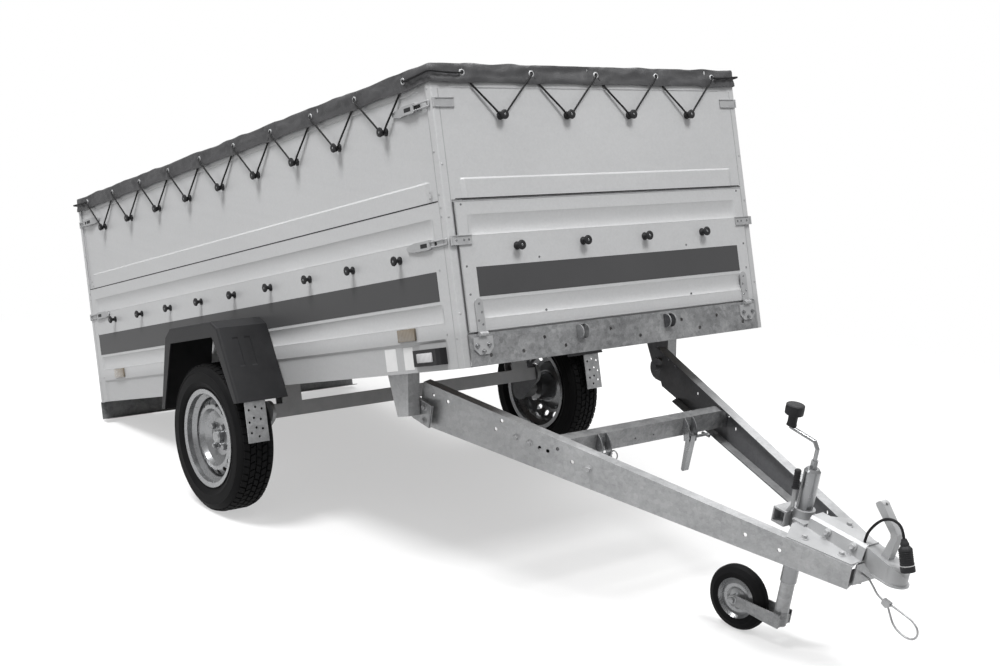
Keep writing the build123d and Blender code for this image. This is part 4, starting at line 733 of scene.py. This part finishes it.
def skirt_shape(x, y, down):
    """How far a point of the skirt stands out and is lifted; down runs from 0 at the top to 1 at the hem."""
    beside = abs(y) > HALF - COVER_ROUND
    along, places = (x, SIDE_EYELETS) if beside else (y, END_EYELETS)
    pull = nearest(along, places)
    near = math.exp(-(pull / 0.055) ** 2)
    flat = math.exp(-(pull / 0.022) ** 2 - ((down - 0.47) / 0.3) ** 2)
    lean = 0.035 if beside else 0.006
    crease = math.cos(math.tau * (pull + lean * (1 - down)) / 0.040) * near
    wave = noise.noise(Vector((x * 9, y * 9, down * 1.5)))
    body = math.sin(math.pi * min(1, 0.15 + down * 0.85))
    from_corner = min(-x, x + LENGTH) if beside else HALF - abs(y)
    pleat = math.exp(-((from_corner - 0.045) / 0.010) ** 2) - 0.6 * math.exp(-((from_corner - 0.024) / 0.008) ** 2)
    out = 0.0036 * math.sin(math.pi / 2 * min(1, down * 1.2)) + 0.0045 * pleat * down
    fine = noise.noise(Vector((x * 31, y * 31, down * 3)))
    out += (0.0075 * crease * body + (0.0080 * wave + 0.0034 * fine) * body) * (1 - flat)
    return out + (0.0009 if down > 0.72 else 0.0), 0.005 * (1 - near) * down


for vertex in cover.data.vertices:
    x, y, z = vertex.co
    down = (WALL_TOP + COVER_OUT - z) / SKIRT_DROP
    edge = min(-x, x + LENGTH, HALF - abs(y)) + COVER_OUT
    if down < 0.01 and edge > 0.001:
        sag = 0.011 * (1 - (y / HALF) ** 2) * min(1, edge / 0.5)
        ripple = noise.noise(Vector((x * 2.4, y * 2.4, 3))) * 0.005 + noise.noise(Vector((x * 9, y * 9, 7))) * 0.0012
        vertex.co.z = z - sag + ripple * min(1, edge / 0.12)
        continue
    out, lift = skirt_shape(x, y, down) if down > 0.01 else (-0.0015, 0.0045 * noise.noise(Vector((x * 13, y * 13, 1))))
    core = Vector((min(max(x, -LENGTH - COVER_OUT + COVER_ROUND), COVER_OUT - COVER_ROUND),
                   min(max(y, -HALF - COVER_OUT + COVER_ROUND), HALF + COVER_OUT - COVER_ROUND), z + lift))
    outward = (Vector((x, y, z + lift)) - core).normalized()
    vertex.co = core + outward * (COVER_ROUND + out)
apply_modifier(cover, "SOLIDIFY", thickness=0.0012, offset=-1)
into_mesh(cover, BOX)
settle(cover, "cover_tarp", "box", tarpaulin, 60)
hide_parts("cover_sheet")
print("cover:", len(cover.data.polygons), "faces")

# %% [markdown]
# Thirty pressed eyelets carry the lashing. One ring is turned on the lathe, and copies are set on the skirt. A dark
# disc in each stands for the view through it to the board in shade.

# %% Eyelets
SIDES = {"right": lambda along, out, up: (along, -HALF - out, up),
         "left": lambda along, out, up: (along, HALF + out, up),
         "front": lambda along, out, up: (out, along, up),
         "rear": lambda along, out, up: (-LENGTH - out, along, up)}
OUTWARD = {"right": (0, -1, 0), "left": (0, 1, 0), "front": (1, 0, 0), "rear": (-1, 0, 0)}
EYELET_OUT = COVER_OUT + 0.0034
eyelet_places = [facing(place(along, EYELET_OUT, EYELET_UP), OUTWARD[side]) for side, place in SIDES.items()
                 for along in (SIDE_EYELETS if side in ("right", "left") else END_EYELETS)]
ring = lathe([(0.0062, -0.001), (0.0062, 0.0014), (0.0072, 0.0023), (0.0088, 0.0021), (0.0105, 0.0007),
              (0.0107, -0.001)], 20)
eyelet_rings = into_mesh(copies(ring, eyelet_places), BOX)
settle(eyelet_rings, "eyelet_rings", "box", bright_zinc)
disc = lathe([(0.0065, -0.0008), (0.0065, 0.0003), (0, 0.0003), (0, -0.0008)], 14)
eyelet_discs = into_mesh(copies(disc, eyelet_places), BOX)
settle(eyelet_discs, "eyelet_discs", "box", cord_black)
print("eyelets:", len(eyelet_places))

# %% [markdown]
# The lashing is one tight rope. From each eyelet it drops behind the skirt, turns under a hook and climbs over the
# skirt into the next eyelet. It is a bevelled curve with one spline for each V and one round each corner.

# %% Lashing rope
def lacing(hook, step, place):
    """Points of one V: behind the skirt, under the hook, over the skirt."""
    reach, drop = step / 2, EYELET_UP - HOOK_UPPER + 0.0064
    side = math.copysign(1, step)
    down = [(hook - reach * (1 - share), out, EYELET_UP - drop * share)
            for share, out in ((0.0, 0.001), (0.30, 0.0010), (0.62, 0.004), (0.86, 0.007))]
    under = [(hook - side * 0.0042, 0.0075, HOOK_UPPER - 0.0092), (hook + side * 0.0042, 0.0085, HOOK_UPPER - 0.0092)]
    up = [(hook + reach * share, out, HOOK_UPPER - 0.0064 + drop * share)
          for share, out in ((0.14, 0.0095), (0.60, 0.0115), (0.93, 0.0125))]
    into = [(hook + reach, 0.0105, EYELET_UP), (hook + reach, 0.004, EYELET_UP)]
    return [place(*point) for point in down + under + up + into]


def corner_run(end, across):
    """Points of the run round a corner, between the last eyelets of a side and an end."""
    last = 0.1305
    flat = [(-last, 0.004), (-last + 0.002, 0.0105), (-0.10, 0.0120), (-0.05, 0.0120), (-0.016, 0.0115),
            (0.0135, 0.0135)]
    turned = [(0.0115, -0.016), (0.0120, -0.06), (0.0120, -0.10), (0.0105, -0.112), (0.004, -0.114)]
    points = [(x, HALF + y, EYELET_UP - 0.003 * math.sin(i)) for i, (x, y) in enumerate(flat + turned)]
    return [(x if end == "front" else -LENGTH - x, across * y, z) for x, y, z in points]


routes = [lacing(hook, -SIDE_PITCH, SIDES[side]) for side in ("right", "left") for hook in SIDE_HOOKS]
routes += [lacing(hook, END_PITCH, SIDES[side]) for side in ("front", "rear") for hook in END_HOOKS]
routes += [corner_run(end, across) for end in ("front", "rear") for across in (-1, 1)]
lashing = spline_curve("lashing_rope", routes, 0.0031, BOX)
settle(lashing, "lashing_rope", "box", cord_black)
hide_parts("lashing_cord")
print("lashing:", len(routes), "runs")

# %% [markdown]
# Two long ribs are pressed into every lower wall. The die leaves a hollow that is round in section, dark above and
# bright below under light from overhead. A grid is laid over each rib, and its points are pushed in along a half wave,
# less towards the rib's ends.

# %% Pressed ribs
RIBS = [(0.1380, 0.1940), (0.3860, 0.4480)]
RIB_FADE = 0.016
RIB_DEEP = 0.0064


def pressed_rib(start, end, low, high, place):
    """A hollow from start to end along a wall and from low to high; place takes along, out and up."""
    clear_selection()
    bpy.ops.mesh.primitive_grid_add(x_subdivisions=60, y_subdivisions=18, size=1)
    rib = bpy.context.object
    for vertex in rib.data.vertices:
        share, up = vertex.co.x + 0.5, vertex.co.y + 0.5
        share = 0.5 - 0.5 * math.cos(math.pi * share)
        along = start + (end - start) * share
        fade = min(1.0, min(along - start, end - along) / RIB_FADE)
        deep = RIB_DEEP * fade * math.sin(math.pi * up) ** 0.75
        vertex.co = place(along, 0.0004 - deep, low + (high - low) * up)
    return rib


def rib_set(name, body, walls, start, end):
    made = [pressed_rib(start, end, low, high, SIDES[wall]) for wall in walls for low, high in RIBS]
    ribs = joined(made)
    for face in ribs.data.polygons:
        wall = min(walls, key=lambda one: (face.center - Vector(SIDES[one](0, 0, 0))).dot(Vector(OUTWARD[one])) ** 2)
        if face.normal.dot(Vector(OUTWARD[wall])) < 0:
            face.flip()
    ribs.data.update()
    settle(into_mesh(ribs, BOX), name, body, zinc_sheet, 50)


rib_set("side_ribs", "box", ("right", "left"), -LENGTH + 0.073, -0.073)
rib_set("front_gate_ribs", "front_gate", ("front",), -0.5778, 0.5778)
rib_set("tailgate_ribs", "tailgate", ("rear",), -0.5778, 0.5778)
print("ribs:", 2 * len(RIBS), "on the sides and", len(RIBS), "on each gate")

# %% [markdown]
# Film, labels and reflectors are thin plates stuck to the sheet. Each starts as a cube of its size, and a small bevel
# gives its edge a highlight. The stripe and the labels are bare.

# %% Stripes, labels, reflectors and painted seam shadows
STRIPE_LOW, STRIPE_HIGH = 0.204, 0.292
side_stripes = joined([slab((-2.63, across * 0.6503 - 0.0005, STRIPE_LOW),
                            (-0.085, across * 0.6503 + 0.0005, STRIPE_HIGH), 0.0003, 1) for across in (-1, 1)])
settle(into_mesh(side_stripes, BOX), "side_stripes", "box", stripe_film)
front_stripe = slab((-0.0003, -0.566, STRIPE_LOW), (0.0007, 0.566, STRIPE_HIGH), 0.0003, 1)
settle(into_mesh(front_stripe, BOX), "front_stripe", "front_gate", stripe_film)
rear_stripe = slab((-LENGTH - 0.0007, -0.566, STRIPE_LOW), (-LENGTH + 0.0003, 0.566, STRIPE_HIGH), 0.0003, 1)
settle(into_mesh(rear_stripe, BOX), "rear_stripe", "tailgate", stripe_film)
SILL_FACE = HALF - 0.005
labels = joined([slab((low, -SILL_FACE - 0.0006, 0.010), (high, -SILL_FACE + 0.0004, 0.080), 0.0004, 1)
                 for low, high in ((-0.418, -0.356), (-0.315, -0.264))])
settle(into_mesh(labels, BOX), "sill_labels", "box", label_white)
plates = []
for across in (-1, 1):
    for low, high in ((-0.322, -0.227), (-2.50, -2.405)):
        plates.append(slab((low, across * 0.6535 - 0.0040, 0.097), (high, across * 0.6535 + 0.0040, 0.136), 0.003, 2))
reflectors = joined(plates)
settle(into_mesh(reflectors, BOX), "side_reflectors", "box", amber_lens)
# The black strips along the board joints are painted shade: they stand for the seam's shadow line.
seam_shadows = [slab((-LENGTH + 0.036, across * 0.6498 - 0.0008, SPLIT - 0.0022),
              (-0.036, across * 0.6498 + 0.0008, SPLIT + 0.0016), 0.0004, 1) for across in (-1, 1)]
seam_shadows += [slab((low, -0.612, SPLIT - 0.0008), (low + 0.0016, 0.612, SPLIT + 0.0024), 0.0004, 1)
          for low in (-0.0010, -LENGTH - 0.0006)]
settle(into_mesh(joined(seam_shadows), BOX), "board_seam_shadows", "box", moulded_black)
print("film, labels, reflectors and seals set on the sheet")

# %% [markdown]
# A marker lamp is a black housing with a ribbed lens on its sloping face. The lens is a bevelled plate laid on that
# slope. The rear lamps get sectors of red, amber and clear lens in the same way.

# %% Lenses of the lamps
LAMP_REAR, LAMP_FRONT = -0.253, -0.089
lenses = []
for across in (-1, 1):
    start = Vector((LAMP_REAR + 0.004, across * (SILL_FACE + 0.0117), 0.043))
    end = Vector((LAMP_FRONT - 0.022, across * (SILL_FACE + 0.026), 0.043))
    along = (end - start).normalized()
    outward = Vector((along.y, -along.x, 0)) * (1 if across < 0 else -1)
    lens_plate = slab((-0.044, -0.0145, -0.002), (0.050, 0.0145, 0.0042), 0.003, 2)
    lenses.append(into_mesh(lens_plate, own_axes((start + end) / 2, along, outward.cross(along), outward)))
settle(into_mesh(joined(lenses), BOX), "marker_lenses", "box", clear_lens)
REAR_FACE = -LENGTH - 0.038
amber_parts, clear_parts = [], []
for across in (-1, 1):
    for wide, group in (((0.405, 0.462), clear_parts), ((0.548, 0.605), amber_parts)):
        low, high = sorted(across * edge for edge in wide)
        group.append(slab((REAR_FACE - 0.0022, low, -0.064), (REAR_FACE + 0.001, high, -0.016), 0.002, 2))
settle(into_mesh(joined(amber_parts), BOX), "rear_indicator_lenses", "box", amber_lens)
settle(into_mesh(joined(clear_parts), BOX), "rear_plate_lenses", "box", clear_lens)
print("lenses laid on", len(lenses), "marker lamps and two rear lamps")

# %% [markdown]
# The sheet's folded edges catch the light as thin bright lines at the corners and round the gates. Narrow bevelled
# strips stand for those folds.

# %% Bright folds at the corners and gates
folds = []
for across in (-1, 1):
    for x in (-0.0062, -LENGTH + 0.0052):
        low, high = sorted((across * 0.6228, across * 0.6252))
        folds.append(slab((x, low, 0.004), (x + 0.0010, high, WALL_TOP - 0.07), 0.0003, 1))
    for x in (-0.0335, -LENGTH + 0.0310):
        low, high = sorted((across * 0.6494, across * 0.6506))
        folds.append(slab((x, low, 0.004), (x + 0.0025, high, WALL_TOP - 0.07), 0.0003, 1))
settle(into_mesh(joined(folds), BOX), "post_folds", "box", bright_zinc)
for name, body, low, high in (("front_gate_folds", "front_gate", 0.0, 0.0010),
                              ("tailgate_folds", "tailgate", -LENGTH - 0.0010, -LENGTH)):
    strips = [slab((low, -0.6186, 0.1013), (high, 0.6186, 0.1040), 0.0003, 1),
              slab((low, -0.6186, 0.4870), (high, 0.6186, 0.4896), 0.0003, 1)]
    for across in (-1, 1):
        near, far = sorted((across * 0.6160, across * 0.6186))
        strips.append(slab((low, near, 0.1040), (high, far, 0.4870), 0.0003, 1))
    settle(into_mesh(joined(strips), BOX), name, body, bright_zinc)
print("folds:", len(folds), "on the posts and two gates")

# %% [markdown]
# Rivets hold the sheet to its frame. One domed head is turned and copied to all of them, sorted by the body that
# they ride on.

# %% Rivets
def domed_head(radius, height):
    return lathe([(0, height), (radius * 0.5, height * 0.9), (radius * 0.86, height * 0.55), (radius, 0.0),
                  (radius, -0.0006), (0, -0.0006)], 12)


def mirrored_ends(points):
    """Places on the side walls, given ahead and up for the front end, repeated at the rear end."""
    return [(x, up) for x, up in points] + [(-LENGTH - x, up) for x, up in points]


SIDE_RIVETS = mirrored_ends([(-0.070, 0.525), (-0.073, 0.508), (-0.026, 0.514), (-0.026, 0.475), (-0.028, 0.449),
                             (-0.068, 0.295), (-0.070, 0.105), (-0.024, 0.089), (-0.026, 0.640), (-0.026, 0.826)])
GATE_RIVETS = [(0.595, 0.479), (0.600, 0.296), (0.599, 0.213), (0.320, 0.307), (0.317, 0.144)]
box_places = [facing(SIDES[side](x, 0.0, up), OUTWARD[side]) for side in ("right", "left") for x, up in SIDE_RIVETS]
box_places += [facing(SIDES[end](across * 0.639, -0.006, up), OUTWARD[end]) for end in ("front", "rear")
               for across in (-1, 1) for up in (0.445, 0.16, 0.60, 0.78)]
rivets = into_mesh(copies(domed_head(0.0042, 0.0016), box_places), BOX)
settle(rivets, "box_rivets", "box", bright_zinc)
for end, body in (("front", "front_gate"), ("rear", "tailgate")):
    places = [facing(SIDES[end](across * y, 0.0, up), OUTWARD[end]) for y, up in GATE_RIVETS for across in (-1, 1)]
    places += [facing(SIDES[end](across * (0.575 + side), 0.004, up), OUTWARD[end]) for across in (-1, 1)
               for side, up in ((-0.007, 0.122), (0.007, 0.134), (-0.007, 0.158), (0.0, 0.184))]
    places += [facing(SIDES[end](across * y, 0.003, SPLIT - 0.121), OUTWARD[end]) for across in (-1, 1)
               for y in (0.628, 0.600, 0.582)]
    heads = into_mesh(copies(domed_head(0.0040, 0.0018), places), BOX)
    settle(heads, body + "_rivets", body, plated_zinc)
print("rivets:", len(box_places), "on the box")

# %% [markdown]
# The rope hooks are turned mouldings: a foot on the sheet, a waist for the rope and a broad mushroom head, with a
# bright screw set into the head. One of each is turned, and copies replace the plain hooks of the solids.

# %% Rope hooks
HOOK_OUTLINE = [(0, 0.0268), (0.0046, 0.0268), (0.0052, 0.0282), (0.0118, 0.0280), (0.0146, 0.0262), (0.0153, 0.0236),
                (0.0144, 0.0208), (0.0105, 0.0184), (0.0072, 0.0160), (0.0062, 0.0120), (0.0064, 0.0060),
                (0.0092, 0.0034), (0.0126, 0.0024), (0.0130, -0.0005), (0, -0.0005)]


def hook_set(name, body, node, places):
    """Hooks and their screws on one body, standing for a node of plain hooks."""
    hooks = into_mesh(copies(lathe(HOOK_OUTLINE, 20), places), BOX)
    settle(hooks, name, body, moulded_black, 40)
    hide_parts(node)
    heads = [place @ Matrix.Translation((0, 0, 0.0268)) for place in places]
    screws = into_mesh(copies(domed_head(0.0042, 0.0012), heads), BOX)
    settle(screws, name + "_screws", body, plated_zinc)


box_hooks = [facing(SIDES[side](x, -set_in, up), OUTWARD[side]) for side in ("right", "left") for x in SIDE_HOOKS
             for up, set_in in ((HOOK_UPPER, SETBACK), (HOOK_LOWER, 0.0))]
box_hooks += [facing(SIDES[end](y, -SETBACK, HOOK_UPPER), OUTWARD[end]) for end in ("front", "rear") for y in END_HOOKS]
hook_set("box_hooks", "box", "rope_hooks", box_hooks)
for end, body in (("front", "front_gate"), ("rear", "tailgate")):
    hook_set(body + "_rope_hooks", body, body + "_hooks",
             [facing(SIDES[end](y, 0.0, HOOK_LOWER), OUTWARD[end]) for y in END_HOOKS])
print("hooks:", len(box_hooks), "on the box and four on each gate")

# %% [markdown]
# Behind the gap round each gate the posts and the rail have a folded stop. Thin plates stand for it, so that the gap
# shows zinc and not the dark inside. The latch levers get black plates, painted shade for the slot that their bail
# hangs in.

# %% Gate stops and painted-shade latch slots
stops = []
for x in (-0.0110, -LENGTH + 0.0095):
    for across in (-1, 1):
        low, high = sorted((across * 0.6130, across * 0.6246))
        stops.append(slab((x, low, 0.0950), (x + 0.0015, high, 0.4960), 0.0003, 1))
    stops += [slab((x, -0.6130, low), (x + 0.0015, 0.6130, low + 0.0100), 0.0003, 1) for low in (0.0940, 0.4860)]
settle(into_mesh(joined(stops), BOX), "gate_stops", "box", zinc_sheet)
# The black plates are painted shade standing for the dark openings of the latch slots.
slots = []
for across in (-1, 1):
    for up, out in ((SPLIT - 0.121, 0.0080), (WALL_TOP - 0.113, 0.0080)):
        for back, ahead in ((-0.140, -0.106), (-0.094, -0.066)):
            for low, high in ((back, ahead), (-LENGTH - ahead, -LENGTH - back)):
                near, far = sorted((across * (HALF + out - 0.002), across * (HALF + out + 0.0006)))
                if (back, ahead) == (-0.094, -0.066):
                    near, far = sorted((across * (HALF - 0.001), across * (HALF + 0.0012)))
                slots.append(slab((low, near, up - 0.0062), (high, far, up + 0.0062), 0.0005, 1))
settle(into_mesh(joined(slots), BOX), "latch_slot_shades", "box", moulded_black)
print("gate stops:", len(stops), "latch slots:", len(slots))

# %% [markdown]
# Hexagon bolts hold the hinge leaves, the drawbar and the coupling. A cylinder of six sides gets a chamfer from an
# inset face and stands on a turned washer.

# %% Hexagon bolts
def hex_bolt(across, height, washer):
    """Hexagon head on a round washer, standing on z = 0."""
    clear_selection()
    bpy.ops.mesh.primitive_cylinder_add(vertices=6, radius=across / math.sqrt(3), depth=height,
                                        location=(0, 0, washer + height / 2))
    head = into_mesh(bpy.context.object)
    pick_faces(head, lambda face: face.normal.z > 0.9)
    bpy.ops.mesh.inset(thickness=across * 0.10, depth=across * 0.06)
    bpy.ops.mesh.inset(thickness=across * 0.16, depth=-across * 0.05)
    bpy.ops.object.mode_set(mode="OBJECT")
    plate = lathe([(across * 0.80, -0.001), (across * 0.80, washer * 0.7), (across * 0.74, washer), (0, washer),
                   (0, -0.001)], 18)
    return joined([head, plate])


leaf_places = [facing(SIDES[end](across * y, 0.004, up), OUTWARD[end]) for end in ("front", "rear")
               for across in (-1, 1) for y, up in ((0.599, 0.060), (0.555, 0.060), (0.577, 0.042))]
leaf_bolts = into_mesh(copies(hex_bolt(0.010, 0.005, 0.0012), leaf_places), BOX)
settle(leaf_bolts, "hinge_leaf_bolts", "box", plated_zinc)
ARM_BACK, ARM_APART = 0.020, 0.540
ARM_IN, ARM_LONG = 0.456, 1.375
ARM_TURN = math.atan2(ARM_IN, ARM_LONG)


def on_arm(along, up, across):
    """A place on the outer face of an arm's web; across is -1 for the right arm."""
    point = (ARM_BACK + along * math.cos(ARM_TURN), across * (ARM_APART - along * math.sin(ARM_TURN)), up)
    return facing(point, (math.sin(ARM_TURN), across * math.cos(ARM_TURN), 0))


bolt_places = []
for across in (-1, 1):
    bolt_places += [on_arm(0.363, 0.021, across), on_arm(0.412, 0.018, across), on_arm(0.624, 0.009, across)]
    bolt_places += [facing((x, across * 0.548, up), (0, across, 0)) for x, up in ((0.053, 0.015), (0.058, -0.030))]
    bolt_places += [facing((x, across * y, up), (0, 0, 1)) for x, y, up in ((1.236, 0.098, 0.0295),
                                                                            (1.342, 0.066, 0.0237))]
    bolt_places += [facing((x, across * 0.0360, 0.047), (0, across, 0.25)) for x in (1.262, 1.352)]
bolt_places += [facing((1.372, 0.0, -0.052), (0, 0, -1))]
drawbar_bolts = into_mesh(copies(hex_bolt(0.015, 0.008, 0.002), bolt_places), DRAW)
settle(drawbar_bolts, "drawbar_bolts", "drawbar", bright_zinc)
print("bolts:", len(leaf_places), "on the hinge leaves,", len(bolt_places), "on the drawbar")

# %% [markdown]
# Weld beads join the eyes, the crossbar and the front plate to the arms. A bead is a row of overlapping scales: one
# flattened ball is copied along the seam, and the copies are joined.

# %% Weld beads
def weld(start, end, size=0.004):
    """Overlapping scales along a straight seam."""
    clear_selection()
    bpy.ops.mesh.primitive_uv_sphere_add(segments=8, ring_count=5, radius=size)
    scale = bpy.context.object
    scale.scale = (0.8, 1.0, 0.7)
    into_mesh(scale)
    start, end = Vector(start), Vector(end)
    count = max(2, int((end - start).length / (size * 0.9)))
    return copies(scale, [Matrix.Translation(start.lerp(end, i / (count - 1))) for i in range(count)])


def inner_web(x):
    return ARM_APART - ARM_IN * (x - ARM_BACK) / ARM_LONG - 0.0043


beads = []
for across in (-1, 1):
    beads.append(weld((0.086, across * 0.5485, -0.040), (0.086, across * 0.5485, 0.030)))
    beads.append(weld((0.030, across * 0.5485, 0.032), (0.084, across * 0.5485, 0.032)))
    bar_end, back, ahead = (across * (inner_web(x) - 0.003) for x in (0.493, 0.455, 0.491))
    beads.append(weld((0.4945, bar_end, -0.008), (0.4945, bar_end, 0.050)))
    beads.append(weld((0.455, back, 0.053), (0.491, ahead, 0.053)))
settle(into_mesh(joined(beads), DRAW), "weld_beads", "drawbar", dipped_zinc)
print("weld beads:", len(beads))

# %% [markdown]
# A road tyre is a turned carcass with rings on its sidewall and rows of tread blocks. One block of each kind is
# bevelled, slanted and copied round the wheel. The solid tyre under it keeps the same radius and width.

# %% Road tyres
TYRE_SIDE = [(0.1655, 0.050), (0.170, 0.0565), (0.1835, 0.0585), (0.1865, 0.0625), (0.192, 0.0660), (0.203, 0.0716),
             (0.2052, 0.0724), (0.2074, 0.0716), (0.222, 0.0726), (0.236, 0.0708), (0.2382, 0.0720), (0.2404, 0.0702),
             (0.2500, 0.0655), (0.2570, 0.0575), (0.2600, 0.0490), (0.2606, 0.0350), (0.2606, 0.0)]
TYRE_INSIDE = [(0.1655, 0.044), (0.2035, 0.060), (0.244, 0.055), (0.2515, 0.030)]
carcass_outline = TYRE_SIDE + [(r, -h) for r, h in reversed(TYRE_SIDE[:-1])]
carcass_outline += [(r, -h) for r, h in TYRE_INSIDE] + [(r, h) for r, h in reversed(TYRE_INSIDE)]
# Tread rows: place across, width, top radius, slant, tilt
TREAD_ROWS = [(-0.0465, 0.021, 0.2648, 0.25, 0.27), (-0.0225, 0.0185, 0.2668, -0.45, 0.05),
              (0.0, 0.0170, 0.2670, 0.45, 0), (0.0225, 0.0185, 0.2668, -0.45, -0.05),
              (0.0465, 0.021, 0.2648, 0.25, -0.27)]
BLOCKS = 58
TO_WHEEL = Matrix(((0, 0, 1, 0), (1, 0, 0, 0), (0, 1, 0, 0), (0, 0, 0, 1)))


def tread_row(middle, width, top, slant, tilt, phase):
    """Blocks along one row; a block lies along X, across Y and outward along Z before it is set on the wheel."""
    block = slab((-0.0118, -width / 2, -0.009), (0.0118, width / 2, 0), 0.0011, 1)
    into_mesh(block, Matrix(((1, slant, 0, 0), (0, 1, 0, 0), (0, 0, 1, 0), (0, 0, 0, 1))))
    lean = Matrix.Translation((top, 0, middle)) @ TO_WHEEL @ Matrix.Rotation(tilt, 4, "X")
    return copies(block, [Matrix.Rotation(math.tau * (i + phase) / BLOCKS, 4, "Z") @ lean for i in range(BLOCKS)])


for side, across in (("right", -1), ("left", 1)):
    carcass = lathe(carcass_outline, 96)
    rows = [tread_row(*row, phase=(i % 2) / 2) for i, row in enumerate(TREAD_ROWS)]
    tyre = joined([carcass] + rows)
    into_mesh(tyre, facing(spot(f"wheel_{side}_spin"), (0, across, 0)))
    settle(tyre, f"road_tyre_{side}", f"wheel_{side}", tyre_rubber, 30)
    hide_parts(f"wheel_tyre_{side}")
print("road tyres:", len(tyre.data.polygons), "faces each")

# %% Wheel nuts and valves
for side, across in (("right", -1), ("left", 1)):
    hub = facing(spot(f"wheel_{side}_spin"), (0, across, 0))
    turns = [Matrix.Rotation(math.tau * (i + 0.6) / 4, 4, "Z") for i in range(4)]
    nuts = copies(hex_bolt(0.019, 0.013, 0.002), [turn @ Matrix.Translation((0.050, 0, 0.008)) for turn in turns])
    settle(into_mesh(nuts, hub), f"wheel_nuts_{side}", f"wheel_{side}", plated_zinc)
    stem = lathe([(0, 0.030), (0.0035, 0.030), (0.0042, 0.028), (0.0042, 0.020), (0.0055, 0.018), (0.0075, 0.002),
                  (0.0075, -0.002), (0, -0.002)], 14)
    place = Matrix.Rotation(1.2, 4, "Z") @ Matrix.Translation((0.141, 0, 0.026))
    settle(into_mesh(stem, hub @ place), f"tyre_valve_{side}", f"wheel_{side}", moulded_black)
print("four nuts and a valve on each wheel")

# %% [markdown]
# Hands touch three black mouldings: the mushroom knob of the crank, the sleeve of the clamp lever and the plug. Each is
# turned on the lathe from its own outline, with ribs where fingers grip.

# %% Knob, grip and plug
knob = lathe([(0, 0.0648), (0.0200, 0.0648), (0.0252, 0.0642), (0.0270, 0.0624), (0.0274, 0.0500), (0.0270, 0.0362),
              (0.0256, 0.0343), (0.0165, 0.0338), (0.0142, 0.0300), (0.0137, 0.0100), (0.0150, 0.0020), (0.0150, 0.0),
              (0.0062, 0.0), (0.0062, 0.060), (0, 0.060)], 40)
settle(into_mesh(knob, DRAW @ Matrix.Translation((1.041, 0, 0.2740))), "crank_knob", "drawbar", moulded_black,
       40)
sleeve = [(0.0, 0.0585), (0.0055, 0.0580), (0.0088, 0.0555), (0.0098, 0.0520)]
for i in range(7):
    sleeve += [(0.0098, 0.0500 - 0.0066 * i), (0.0089, 0.0490 - 0.0066 * i), (0.0089, 0.0464 - 0.0066 * i)]
sleeve += [(0.0100, 0.0040), (0.0112, 0.0020), (0.0112, 0.0), (0.0, 0.0)]
grip_low, grip_high = Vector((1.127, -0.038, 0.122)), Vector((1.124, -0.038, 0.176))
grip = into_mesh(lathe(sleeve, 28), DRAW @ facing(grip_low, grip_high - grip_low))
settle(grip, "clamp_grip", "drawbar", moulded_black, 40)
body = [(0.0, 0.0), (0.0185, 0.0), (0.0200, 0.0012), (0.0200, 0.0150), (0.0190, 0.0160), (0.0172, 0.0165),
        (0.0172, 0.0190), (0.0192, 0.0200), (0.0192, 0.0235)]
for i in range(6):
    body += [(0.0192, 0.0250 + 0.0056 * i), (0.0181, 0.0256 + 0.0056 * i), (0.0181, 0.0280 + 0.0056 * i),
             (0.0192, 0.0286 + 0.0056 * i)]
body += [(0.0185, 0.0620), (0.0140, 0.0680), (0.0118, 0.0700), (0.0118, 0.0770), (0.0098, 0.0800), (0.0070, 0.0890),
         (0.0, 0.0890)]
plug_low, plug_high = Vector((1.524, -0.022, 0.052)), Vector(PLUG_HIGH)
plug_place = DRAW @ facing(plug_low, plug_high - plug_low)
plug_body = settle(into_mesh(lathe(body, 40), plug_place), "plug_body", "drawbar", moulded_black, 40)
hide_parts("plug")
band = lathe([(0.0176, 0.0168), (0.0186, 0.0168), (0.0186, 0.0187), (0.0176, 0.0187)], 40)
plug_band = settle(into_mesh(band, plug_place), "plug_band", "drawbar", label_white)
print("mouldings:", knob.name, grip.name, plug_body.name)

# %% Jockey wheel nuts
caster = DRAW @ Matrix.Translation((1.145, 0, 0)) @ Matrix.Rotation(math.radians(8), 4, "Z")
jockey_places = [facing((-0.146, across * 0.035, -0.294), (0, across, 0)) for across in (-1, 1)]
jockey_nuts = into_mesh(copies(hex_bolt(0.018, 0.008, 0.0018), jockey_places), caster)
settle(jockey_nuts, "jockey_nuts", "jack_fork", plated_zinc)
print("nuts on the jockey wheel's bolt:", len(jockey_places))
